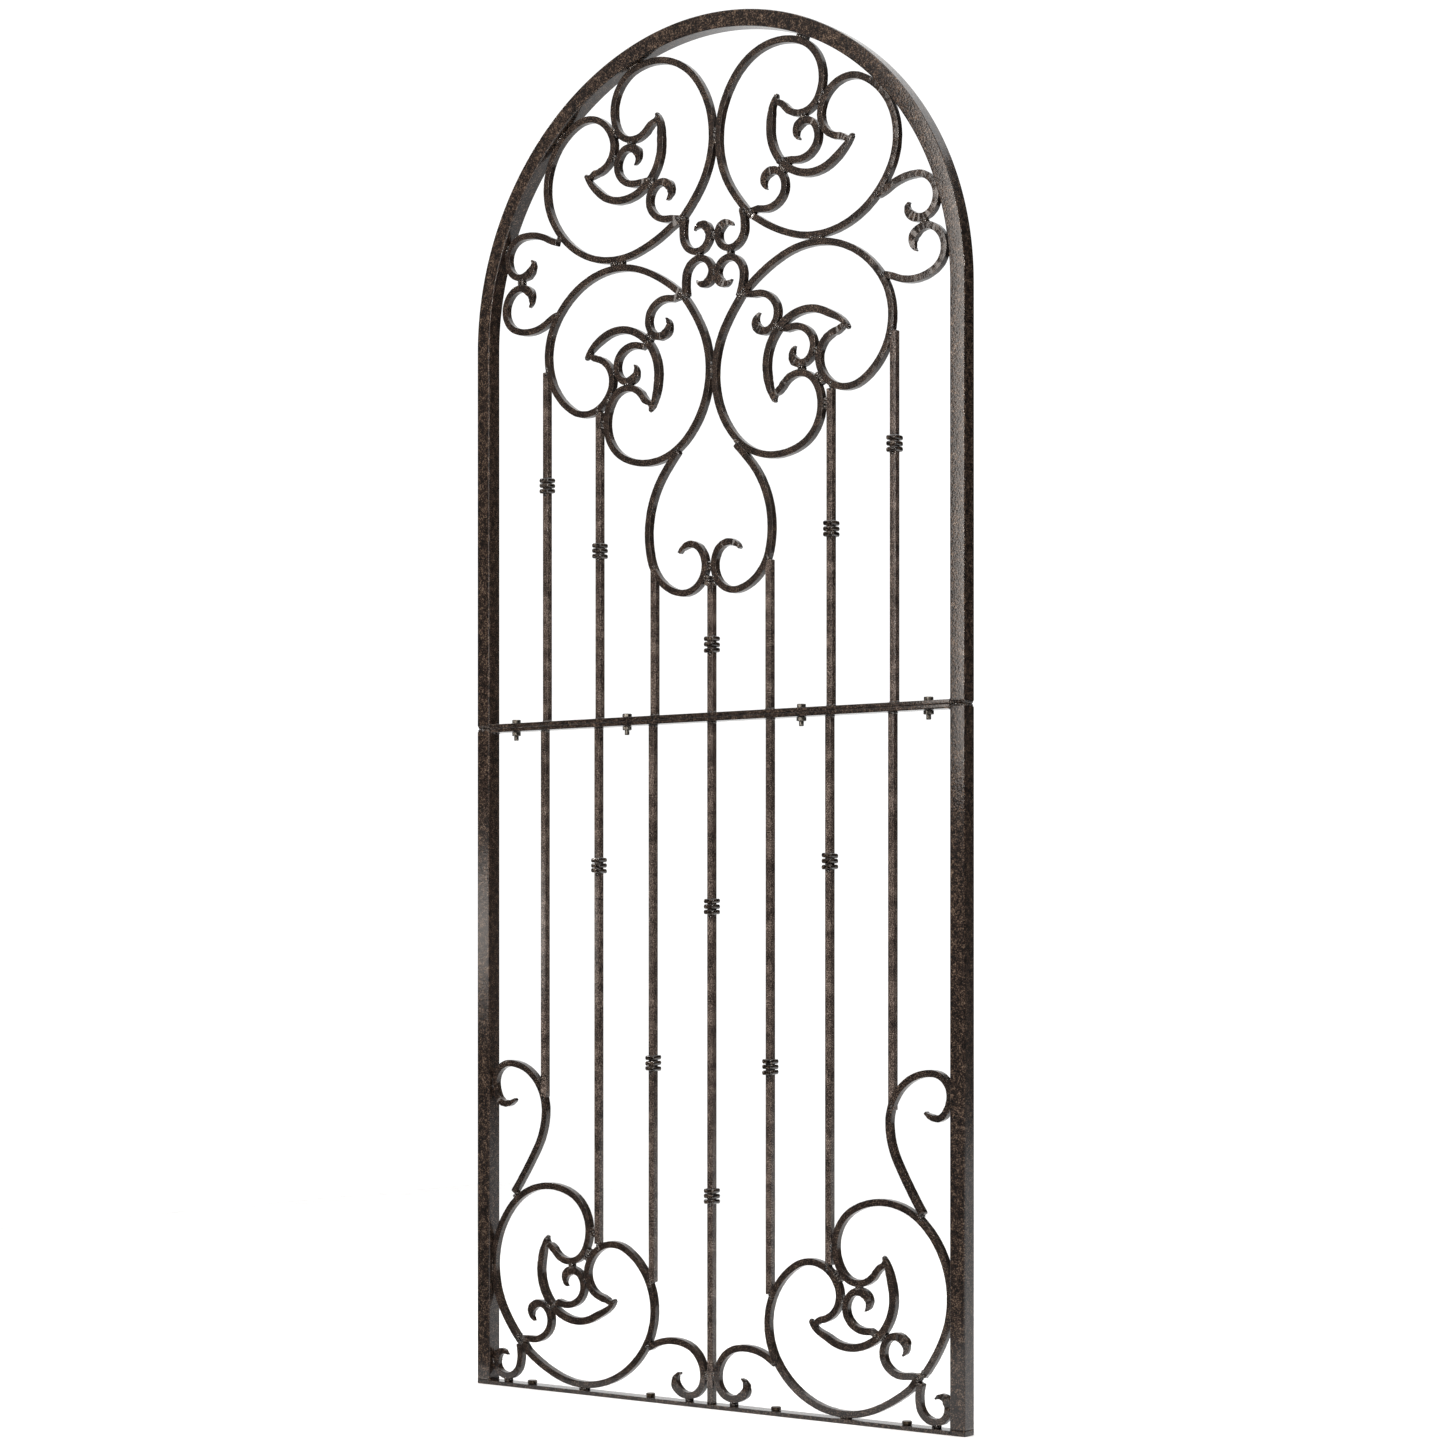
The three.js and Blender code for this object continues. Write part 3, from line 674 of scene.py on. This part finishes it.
def weld_lumps(ax, az, bx, bz, angle, length):
    """The run of metal between two bars, laid as a row of overlapping lumps on both faces."""
    apart = math.hypot(bx - ax, bz - az)
    mid_x, mid_z = (ax + bx) / 2, (az + bz) / 2
    across = max(LEAST_ACROSS, apart / 2 - BAR / 2 + ONTO_BAR)
    parts = []
    count = max(2, round(length / LUMP_SPACING))
    for k in range(count):
        along = length * ((k + 0.5) / count - 0.5) + chance.uniform(-LUMP_WANDER, LUMP_WANDER)
        for face in (-1, 1):
            reach = chance.uniform(2.8, 3.8)
            depth = face * (BAR / 2 - reach + chance.uniform(0.9, 1.8))
            aside = chance.uniform(-LUMP_WANDER, LUMP_WANDER)
            spot = (
                mid_x + along * math.cos(angle) - aside * math.sin(angle), depth,
                mid_z + along * math.sin(angle) + aside * math.cos(angle),
            )
            size = (chance.uniform(2.6, 4.0), reach, across * chance.uniform(0.85, 1.2))
            parts.append(lump(spot, size, angle))
    return parts


def knob(x, z, size):
    """A bead of weld where two tips meet."""
    return lump((x, 0, z), (size, BAR * KNOB_DEPTH, size))


def seam_welds(side, z, up):
    """The rough run of weld in the hollow at a tube end, and the beads on its four faces."""
    parts = []
    for k in range(HOLLOW_RUNS):
        depth = (TUBE - 2 * HOLLOW_MARGIN) * (k / (HOLLOW_RUNS - 1) - 0.5)
        spot = (side * (OPENING / 2 - 1.0), depth, z + up * chance.uniform(1.0, 5.0))
        parts.append(lump(spot, HOLLOW_LUMP))
    out = TUBE / 2 - BEAD_INSET
    run = TUBE - 2 * BEAD_MARGIN
    for k in range(BEADS_PER_FACE):
        along = run * (k + 0.5) / BEADS_PER_FACE - TUBE / 2 + BEAD_MARGIN
        for face in (-1, 1):
            size = chance.uniform(1.3, 2.5)
            spot = (side * TUBE_LINE + along, face * out, z + up * chance.uniform(0.2, 3.6))
            parts.append(lump(spot, (size, BEAD_DEPTH, size)))
        for face in (-1, 1):
            size = chance.uniform(1.3, 2.5)
            spot = (side * TUBE_LINE + face * out, along, z + up * chance.uniform(0.2, 3.6))
            parts.append(lump(spot, (BEAD_DEPTH, size, size)))
    return parts


# ---------------------------------------------------------------- scroll shapes

# Each list of (radius, degrees) follows one bar from its welded start to its worked end.
UPRIGHT_LOOP = ((256, 12), (142, 73), (104, 71), (63, 96), (36, 113), (30, -30), (8, 100))
LYING_LOOP = ((251, 16), (144, 80), (103, 93), (52, 100), (37, 97), (30, -24), (8, 90))
CRESCENT = ((69, 70), (76, 119))
CURL = ((109, 6), (36, 52), (28, 82), (20, 88), (16.5, 100))
ROSETTE_CURL = ((84, 18), (28.5, 63), (23, 101), (18.5, 85), (18, 62))
SIDE_UPPER = ((76, -15), (91, 34), (34, 108), (27, 133), (9, 90))
SIDE_LOWER = ((83, -15), (72, 54), (35, 123), (26, 82), (21, 76))
LYRE = ((470, 5), (151, 53.5), (73, 62.5), (39.5, 139), (25, 111))
S_SCROLL = ((774, 6.4), (124, 25), (75, 43), (71, 52), (31, 85), (42, 43), (16, 48), (29, 46))
CENTRE_SCROLL = ((84.5, 50), (47, 84), (29, 129), (17, 105))
CORNER_CURL = ((59, 32), (27, 93), (21, 104), (15, 102))

# Drawn as for the leaf at the top left: heel at lower right, opening up and to the left. Each
# leaf was bent by eye, so each bar has its own start and heading, measured from the heel.
LEAVES = {
    "top_left": dict(
        heel=(-55, 1796), flip=(1, 1), upright=((-1, -1), 44), lying=((-21, -10), 213),
        crescent=((-176.5, 81), -62.5), inner=((-80.5, 66), 184), outer=((-20, 3), 180.5),
    ),
    "top_right": dict(
        heel=(67, 1788), flip=(-1, 1), upright=((-5, -1), 44.5), lying=((-22, -13), 213.5),
        crescent=((-178, 78.5), -61), inner=((-82, 66.5), 189), outer=((-20.5, 3), 192.5),
    ),
    "middle_left": dict(
        heel=(-53, 1680), flip=(1, -1), upright=((6, 8), 51.5), lying=((-13, -10), 218.5),
        crescent=((-183, 74.5), -61), inner=((-76, 69.5), 198.5), outer=((-18.5, 3), 190),
    ),
    "middle_right": dict(
        heel=(58, 1668), flip=(-1, -1), upright=((1, 2), 48.5), lying=((-15, -12), 219),
        crescent=((-182.5, 75.5), -64), inner=((-82, 61.5), 191), outer=((-21, 3), 183),
    ),
    "bottom_left": dict(
        heel=(-375, 77), flip=(-1, 1), upright=((2, -3), 47), lying=((-16, -20), 216.5),
        crescent=((-180.5, 77), -67), inner=((-77, 62), 196.5), outer=((-17, 0.5), 184),
    ),
    "bottom_right": dict(
        heel=(372, 77), flip=(1, 1), upright=((14, 9), 53), lying=((-13, -18), 218.5),
        crescent=((-182.5, 75.5), -67.5), inner=((-81, 59), 184.5), outer=((-14, 0), 188),
    ),
}

HAMMER_MARKS = 1.1
OUT_OF_PLANE = 0.25
BELLY = 0.55  # share of the crescent's length at which the inner curl starts
CUSP_BEAD = 3.4
lines = {}


def forge(name, line, start, end, node):
    """Sweeps one bent bar and adds it as a piece; bars are never quite in one plane."""
    lines[name] = line
    shift = chance.uniform(-OUT_OF_PLANE, OUT_OF_PLANE)
    bar = sweep(line, bar_section, start, end, shift, dents=HAMMER_MARKS)
    add_piece(name, [bar], coated_bar, [node])


# ---------------------------------------------------------------- leaves

cusps = []
for leaf, drawn in LEAVES.items():
    outline = f"leaf_outline_{leaf}"
    heart = f"leaf_heart_{leaf}"
    heel, flip = drawn["heel"], drawn["flip"]
    crescent_flat = bend(*drawn["crescent"], CRESCENT)
    belly = crescent_flat[round(BELLY * len(crescent_flat))][:2]

    upright = place(bend(*drawn["upright"], UPRIGHT_LOOP, 1, lead=6), heel, flip)
    lying = place(led_from((0, 0), bend(*drawn["lying"], LYING_LOOP, -1)), heel, flip)
    tips = (upright[-1], lying[-1])
    crescent = drawn_to(place(crescent_flat, heel, flip), tips)
    crescent = drawn_to(crescent[::-1], tips)[::-1]
    inner = place(led_from(belly, bend(*drawn["inner"], CURL, -1)), heel, flip)
    outer = place(led_from((0, 0), bend(*drawn["outer"], CURL, -1)), heel, flip)

    forge(f"upright_loop_{leaf}", upright, cut_end, flick_end, outline)
    forge(f"lying_loop_{leaf}", lying, cut_end, flick_end, outline)
    forge(f"crescent_{leaf}", crescent, crescent_end, crescent_end, heart)
    forge(f"inner_curl_{leaf}", inner, cut_end, comma_end, heart)
    forge(f"outer_curl_{leaf}", outer, cut_end, comma_end, heart)

    half_upright = upright[len(upright) // 2:]
    half_lying = lying[len(lying) // 2:]
    weld(f"welds_{leaf}", half_upright, half_lying, 18)
    weld(f"welds_{leaf}", upright[:6], lying[:6], 20)
    weld(f"welds_{leaf}", outer[12:], crescent, 12)
    weld(f"welds_{leaf}", outer[:3], upright[:8], 18)
    weld(f"welds_{leaf}", inner[:3], crescent, 14)
    weld(f"welds_{leaf}", inner[12:], half_upright, 9)
    weld(f"welds_{leaf}", inner[12:], half_lying, 9)
    for x, z, _ in tips:
        cusps.append(knob(x, z, CUSP_BEAD))
add_piece("cusp_beads", cusps, coated_weld, [])

# ---------------------------------------------------------------- rosette between the leaves

ROSETTE = {
    "upper_left": ((-51.5, 1793.5), -101.5, 1, 1),
    "upper_right": ((-59, 1793), -106.5, 1, -1),
    "lower_left": ((-47, 1681), 100, -1, 1),
    "lower_right": ((-55, 1671), 111, -1, -1),
}
for corner, (start, heading, turn, flip) in ROSETTE.items():
    line = place(bend(start, heading, ROSETTE_CURL, turn, lead=4), (0, 0), (flip, 1))
    forge(f"rosette_curl_{corner}", line, cut_end, comma_end, "rosette")
for a, b in (
    ("upper_left", "lower_left"), ("upper_right", "lower_right"),
    ("upper_left", "upper_right"), ("lower_left", "lower_right"),
):
    weld("welds_rosette", lines[f"rosette_curl_{a}"][12:], lines[f"rosette_curl_{b}"][12:], 7)

# ---------------------------------------------------------------- scrolls with a left and a right

# name: shape, turn, worked end, start and heading on the left, start and heading on the right
PAIRS = {
    "side_scroll_upper": (SIDE_UPPER, 1, comma_end, (-299, 1792), 166, (-301, 1781), 164),
    "side_scroll_lower": (SIDE_LOWER, -1, comma_end, (-299, 1679), 197, (-313, 1664), 189),
    "lyre": (LYRE, 1, flick_end, (-62, 1445.5), 227.5, (-46.5, 1445), 224),
    "s_scroll": (S_SCROLL, 1, flick_end, (-389, 306), 53.5, (-380, 309.5), 56),
    "centre_scroll": (CENTRE_SCROLL, -1, comma_end, (-118, 81), 34, (-120, 75), 40),
    "corner_curl": (CORNER_CURL, -1, comma_end, (-378, 68.5), -72, (-377, 69), -69),
}
for name, (shape, turn, worked, left, left_heading, right, right_heading) in PAIRS.items():
    for side, start, heading, flip in (
        ("left", left, left_heading, 1), ("right", right, right_heading, -1),
    ):
        line = place(bend(start, heading, shape, turn), (0, 0), (flip, 1))
        forge(f"{name}_bar_{side}", line, cut_end, worked, f"{name}_{side}")

for side, sign in (("left", -1), ("right", 1)):
    runs = seam_welds(sign, SEAM + 1.0, 1) + seam_welds(sign, SEAM - 1.0, -1)
    add_piece(f"seam_welds_{side}", runs, coated_weld, [])

base_height = FLAT_BAR - BAR / 2
base_line = straight(-OPENING / 2, base_height, OPENING / 2, base_height, WELD_STEP)
inner_face = TUBE_LINE - TUBE / 2 + BAR / 2
post_lines = {
    "left": straight(-inner_face, 0, -inner_face, SEAM, WELD_STEP),
    "right": straight(inner_face, 0, inner_face, SEAM, WELD_STEP),
}


def inside_of(line):
    """The arch's inner face, moved out by half a bar so that welds fall on the face."""
    inward = TUBE / 2 - BAR / 2
    return [(x + inward * math.sin(a), z - inward * math.cos(a), a) for x, z, a in line]


arch_face = inside_of([
    (
        TUBE_LINE * math.cos(math.radians(180 - k)),
        ARCH_CENTRE + TUBE_LINE * math.sin(math.radians(180 - k)), math.radians(90 - k),
    )
    for k in range(181)
])

for side in ("left", "right"):
    group = f"welds_scrolls_{side}"
    top_up, top_lie = lines[f"upright_loop_top_{side}"], lines[f"lying_loop_top_{side}"]
    mid_up, mid_lie = lines[f"upright_loop_middle_{side}"], lines[f"lying_loop_middle_{side}"]
    low_up, low_lie = lines[f"upright_loop_bottom_{side}"], lines[f"lying_loop_bottom_{side}"]
    upper, lower = lines[f"side_scroll_upper_bar_{side}"], lines[f"side_scroll_lower_bar_{side}"]
    lyre, s_scroll = lines[f"lyre_bar_{side}"], lines[f"s_scroll_bar_{side}"]
    centre, corner = lines[f"centre_scroll_bar_{side}"], lines[f"corner_curl_bar_{side}"]
    weld(group, top_up, arch_face, 18)
    weld(group, top_lie, arch_face, 22)
    weld(group, top_lie, mid_lie, 22)
    weld(group, upper[:3], top_lie, 10)
    weld(group, upper, arch_face, 14)
    weld(group, upper[20:], lower[20:], 10)
    weld(group, lower[:3], mid_lie, 10)
    weld(group, lyre[:3], mid_up, 10)
    weld(group, s_scroll[:3], low_up, 10)
    weld(group, s_scroll, post_lines[side], 16)
    weld(group, low_up, post_lines[side], 20)
    weld(group, low_lie, base_line, 14)
    weld(group, centre[:3], low_lie, 10)
    weld(group, centre[10:], base_line, 10)
    weld(group, corner[10:], base_line, 10)
    weld(group, corner[10:], post_lines[side], 10)
weld("welds_middle", lines["upright_loop_top_left"], lines["upright_loop_top_right"], 24)
weld("welds_middle", lines["upright_loop_middle_left"], lines["upright_loop_middle_right"], 24)
weld("welds_middle", lines["lyre_bar_left"], lines["lyre_bar_right"], 14)

# ---------------------------------------------------------------- upright bars and collars

RING_HALF = 7.7  # from the bar's middle to the middle of the wire
RING_CORNER = 1.3
WIRE_OUT = 2.1
WIRE_UP = 3.5
WIRE_SIDES = 10
RING_SPACING = 8.4
RING_SHIFT = 0.4
RING_TILT = 0.05
BAR_STEP = 10
BAR_SHIFT = 0.2  # how far a bar may be out of the panel's plane
BAR_WELD = 14
TACK_OUT = 4.6  # middle of the lumps that tack the lowest ring to the bar
TACK_BELOW = 14.2
TACK_SIZE = (3.6, 2.0, 3.2)
TOE_ASIDE = 4.8  # middle of the beads round the end of a bar
TOE_OUT = 4.9


def collar_ring(x, z, tilt):
    """One square ring pressed round the bar, its rim rounded like heavy wire."""
    path = []
    for quarter in range(4):
        side = (1, -1, -1, 1)[quarter]
        face = (1, 1, -1, -1)[quarter]
        for k in range(5):
            angle = math.radians(90 * quarter + 22.5 * k)
            path.append((
                side * (RING_HALF - RING_CORNER) + RING_CORNER * math.cos(angle),
                face * (RING_HALF - RING_CORNER) + RING_CORNER * math.sin(angle), angle,
            ))
    verts = []
    for a, d, angle in path:
        for k in range(WIRE_SIDES):
            round_angle = 2 * math.pi * k / WIRE_SIDES
            out = WIRE_OUT * math.cos(round_angle)
            up = WIRE_UP * math.sin(round_angle)
            px, py = a + out * math.cos(angle), d + out * math.sin(angle)
            verts.append((x + px, py, z + up + tilt[0] * px + tilt[1] * py))
    faces = []
    count = len(path)
    for i in range(count):
        here, ahead = i * WIRE_SIDES, (i + 1) % count * WIRE_SIDES
        for k in range(WIRE_SIDES):
            m = (k + 1) % WIRE_SIDES
            faces.append((here + k, ahead + k, ahead + m, here + m))
    return verts, faces


def collar(x, z):
    """Three rings, each a little out of level."""
    parts = []
    for level in (-RING_SPACING, 0.0, RING_SPACING):
        tilt = (chance.uniform(-RING_TILT, RING_TILT), chance.uniform(-RING_TILT, RING_TILT))
        height = z + level + chance.uniform(-RING_SHIFT, RING_SHIFT)
        parts.append(collar_ring(x, height, tilt))
    return parts


def collar_welds(x, z):
    """Lumps where the lowest ring is tacked to the bar."""
    parts = []
    for face in (-1, 1):
        parts.append(lump((x, face * TACK_OUT, z - TACK_BELOW), TACK_SIZE))
    return parts


def toe_welds(x, z, up):
    """Small beads round the end of a bar that stands on a flat bar."""
    parts = []
    for side in (-1, 1):
        size = (chance.uniform(2.6, 3.4), 4.6, chance.uniform(1.8, 2.4))
        parts.append(lump((x + side * TOE_ASIDE, 0, z + up * 1.1), size))
    for face in (-1, 1):
        size = (4.8, chance.uniform(1.8, 2.4), chance.uniform(1.5, 2.0))
        parts.append(lump((x, face * TOE_OUT, z + up * 1.0), size))
    return parts


# name: place across, top of the bar, each collar's share of its height, bars it is welded to
UPPER_BARS = {
    "left_3": (-322.5, 1592, (0.676,), ("lying_loop_middle_left",)),
    "left_2": (-216.5, 1519, (0.548,), ("lying_loop_middle_left", "upright_loop_middle_left")),
    "left_1": (-108.5, 1268, (), ("lyre_bar_left",)),
    "middle": (0, 1240, (0.527,), ("lyre_bar_left", "lyre_bar_right")),
    "right_1": (108, 1268, (), ("lyre_bar_right",)),
    "right_2": (218.5, 1510, (0.558,), ("lying_loop_middle_right", "upright_loop_middle_right")),
    "right_3": (329.5, 1582, (0.696,), ("lying_loop_middle_right",)),
}
# name: place across, foot of the bar, each collar's share of its height, bars it is welded to
LOWER_BARS = {
    "left_3": (-326.5, 458, (), ("s_scroll_bar_left",)),
    "left_2": (-218.5, 234, (0.733,), ("lying_loop_bottom_left", "upright_loop_bottom_left")),
    "left_1": (-112, 182, (0.393,), ("lying_loop_bottom_left",)),
    "middle": (
        0, FLAT_BAR + GAP, (0.729, 0.304), ("centre_scroll_bar_left", "centre_scroll_bar_right"),
    ),
    "right_1": (108.5, 178, (0.395,), ("lying_loop_bottom_right",)),
    "right_2": (216, 228, (0.735,), ("lying_loop_bottom_right", "upright_loop_bottom_right")),
    "right_3": (326.5, 458, (), ("s_scroll_bar_right",)),
}


def upright_bar(panel, place_name, x, z0, z1, collars, welded_to):
    """One upright bar with its collars and its welds."""
    name = f"{panel}_bar_{place_name}"
    line = straight(x, z0, x, z1, BAR_STEP)
    shift = chance.uniform(-BAR_SHIFT, BAR_SHIFT)
    bar = sweep(with_ends(line), bar_section, depth_shift=shift)
    # The shaft takes the coat painted lighter, which stands in for the light on the straight bars.
    add_piece(f"{name}_shaft", [bar], upright_coat_painted_light, [name])
    for number, share in enumerate(collars, 1):
        z = z0 + share * (z1 - z0)
        add_piece(f"{name}_collar_{number}", collar(x, z), coated_weld, [])
        add_piece(
            f"{name}_collar_weld_{number}", collar_welds(x, z), coated_weld, [],
        )
    for other in welded_to:
        spots = straight(x, z0, x, z1, WELD_STEP)
        weld(f"welds_{panel}_bars", spots, lines[other], BAR_WELD)


toes = {"upper": [], "lower": []}
for place_name, (x, top, collars, welded_to) in UPPER_BARS.items():
    upright_bar("upper", place_name, x, RAILS["upper_rail"][1] + GAP, top, collars, welded_to)
    toes["upper"] += toe_welds(x, RAILS["upper_rail"][1], 1)
for place_name, (x, low, collars, welded_to) in LOWER_BARS.items():
    top = RAILS["lower_rail"][0] - GAP
    upright_bar("lower", place_name, x, low, top, collars, welded_to)
    toes["lower"] += toe_welds(x, RAILS["lower_rail"][0], -1)
toes["lower"] += toe_welds(0, FLAT_BAR, 1)

for panel, parts in toes.items():
    add_piece(f"toe_welds_{panel}", parts, coated_weld, [])
for group, found in welds.items():
    parts = []
    for ax, az, bx, bz, angle, length in found:
        parts += weld_lumps(ax, az, bx, bz, angle, length)
    add_piece(group, parts, coated_weld, [])

# ---------------------------------------------------------------- floor, light and camera

# The studio is sized in metres.
FLOOR_HALF = 3.2
PAPER_WHITE = 1.1
FLAG_REACH = 6.5
FLAG_PANELS = 40
FLAG_FROM = -205.0  # degrees round from +X
FLAG_TO = 98.0
FLAG_LOW = 0.0
FLAG_HIGH = 6.0
MAT_TURNS = (-165, -130, -95)  # degrees round from +X
MAT_NEAR = 0.35
MAT_FAR = 6.0
MAT_ABOVE_FLOOR = 0.004
WHITE_LAMP = (1.0, 1.0, 1.0)
WARM_LAMP = (1.0, 0.93, 0.87)


def pale_floor():
    """Matt white studio floor, faintly uneven like painted board."""
    material, tree, output = new_material("matt_white_board")
    place_on = add_node(tree, "ShaderNodeTexCoord")
    grain = add_node(
        tree, "ShaderNodeTexNoise", {"Scale": per_metre(40.0), "Detail": 3.0},
        {"Vector": place_on.outputs["Object"]},
    )
    tint = add_node(
        tree, "ShaderNodeValToRGB", {}, {"Fac": grain.outputs["Fac"]},
        [(0.3, "f6f6f6"), (0.7, "fbfbfb")],
    )
    surface = add_node(
        tree, "ShaderNodeBsdfPrincipled", {"Roughness": 0.9}, {"Base Color": tint.outputs["Color"]},
    )
    tree.links.new(surface.outputs["BSDF"], output.inputs["Surface"])
    mesh = bpy.data.meshes.new("floor")
    half = FLOOR_HALF
    mesh.from_pydata(
        [(-half, -half, 0), (half, -half, 0), (half, half, 0), (-half, half, 0)],
        [], [(0, 1, 2, 3)],
    )
    mesh.materials.append(material)
    floor = bpy.data.objects.new("floor", mesh)
    bpy.context.scene.collection.objects.link(floor)


def studio_surround():
    """White paper all round."""
    world = bpy.data.worlds.new("studio")
    world.use_nodes = True
    paper = world.node_tree.nodes["Background"]
    paper.inputs["Color"].default_value = (1.0, 1.0, 1.0, 1.0)
    paper.inputs["Strength"].default_value = PAPER_WHITE
    bpy.context.scene.world = world


def studio_felt():
    """Black felt with a faint nap."""
    material, tree, output = new_material("black_studio_felt")
    place_on = add_node(tree, "ShaderNodeTexCoord")
    nap = add_node(
        tree, "ShaderNodeTexNoise", {"Scale": per_metre(60.0)},
        {"Vector": place_on.outputs["Object"]},
    )
    tint = add_node(
        tree, "ShaderNodeValToRGB", {}, {"Fac": nap.outputs["Fac"]},
        [(0.3, "141312"), (0.7, "1d1b1a")],
    )
    surface = add_node(
        tree, "ShaderNodeBsdfPrincipled", {"Roughness": 1.0}, {"Base Color": tint.outputs["Color"]},
    )
    tree.links.new(surface.outputs["BSDF"], output.inputs["Surface"])
    return material


def stage_sheet(name, verts, faces, material):
    """A sheet that the trellis mirrors and the camera doesn't see."""
    mesh = bpy.data.meshes.new(name)
    mesh.from_pydata(verts, [], faces)
    mesh.materials.append(material)
    sheet = bpy.data.objects.new(name, mesh)
    sheet.visible_camera = False
    bpy.context.scene.collection.objects.link(sheet)
    return sheet


def dark_flag(material):
    """A curved dark flag round the open side of the studio, which the trellis mirrors.

    It gives the dark faces and the near black edges of gloss paint in a room.
    """
    verts, faces = [], []
    for k in range(FLAG_PANELS + 1):
        turn = math.radians(FLAG_FROM + (FLAG_TO - FLAG_FROM) * k / FLAG_PANELS)
        x, y = FLAG_REACH * math.cos(turn), FLAG_REACH * math.sin(turn)
        verts += [(x, y, FLAG_LOW), (x, y, FLAG_HIGH)]
    for k in range(FLAG_PANELS):
        faces.append((2 * k, 2 * k + 1, 2 * k + 3, 2 * k + 2))
    stage_sheet("dark_flag", verts, faces, material)


def dark_floor_mat(material):
    """A dark mat on the floor in front, which shows only in what the trellis mirrors."""
    verts = []
    for degrees in MAT_TURNS:
        turn = math.radians(degrees)
        for reach in (MAT_NEAR, MAT_FAR):
            verts.append((reach * math.cos(turn), reach * math.sin(turn), MAT_ABOVE_FLOOR))
    floor_mat = stage_sheet("dark_floor_mat", verts, [(0, 1, 3, 2), (2, 3, 5, 4)], material)
    floor_mat.visible_diffuse = False
    floor_mat.visible_shadow = False


def softbox(name, spot, aim, size, watts, colour):
    """A rectangular soft light that points at the trellis."""
    light = bpy.data.lights.new(name, "AREA")
    light.shape = "RECTANGLE"
    light.size, light.size_y = size
    light.energy = watts
    light.color = colour
    lamp = bpy.data.objects.new(name, light)
    lamp.location = spot
    lamp.rotation_euler = (Vector(aim) - Vector(spot)).to_track_quat("-Z", "Y").to_euler()
    bpy.context.scene.collection.objects.link(lamp)


pale_floor()
studio_surround()
felt = studio_felt()
dark_flag(felt)
dark_floor_mat(felt)
softbox("overhead_softbox", (0, 0.4, 4.2), (0, 0, 0), (3.6, 3.6), 124, WHITE_LAMP)
softbox("tall_softbox", (-1.12, -3.0, 2.35), (0.44, 0, 1.4), (0.62, 2.5), 40, WARM_LAMP)
softbox("edge_softbox", (0.3, -3.2, 2.1), (0, 0, 1.5), (0.09, 1.9), 60, WARM_LAMP)
softbox("low_softbox", (-3.25, -3.0, 0.75), (-0.4, 0, 0.9), (0.9, 0.35), 5, WARM_LAMP)
softbox("left_spot", (-3.4, -2.4, 3.5), (0, 0, 1.2), (0.2, 0.2), 16, WARM_LAMP)
softbox("right_spot", (3.0, -1.6, 2.6), (0, 0, 1.2), (0.2, 0.2), 26, WARM_LAMP)

VIEW_TURN = math.radians(36.77)
camera_data = bpy.data.cameras.new("camera")
camera_data.sensor_width = 36.0
camera_data.lens = 77.92
camera_data.shift_y = 0.1538
camera_data.clip_start = 0.1
camera_data.clip_end = 100.0
camera = bpy.data.objects.new("camera", camera_data)
camera.location = (2.8293, -3.7595, 0.6972)
camera.rotation_euler = (math.pi / 2, 0, VIEW_TURN)
bpy.context.scene.collection.objects.link(camera)
bpy.context.scene.camera = camera
bpy.context.scene.view_settings.view_transform = "Standard"
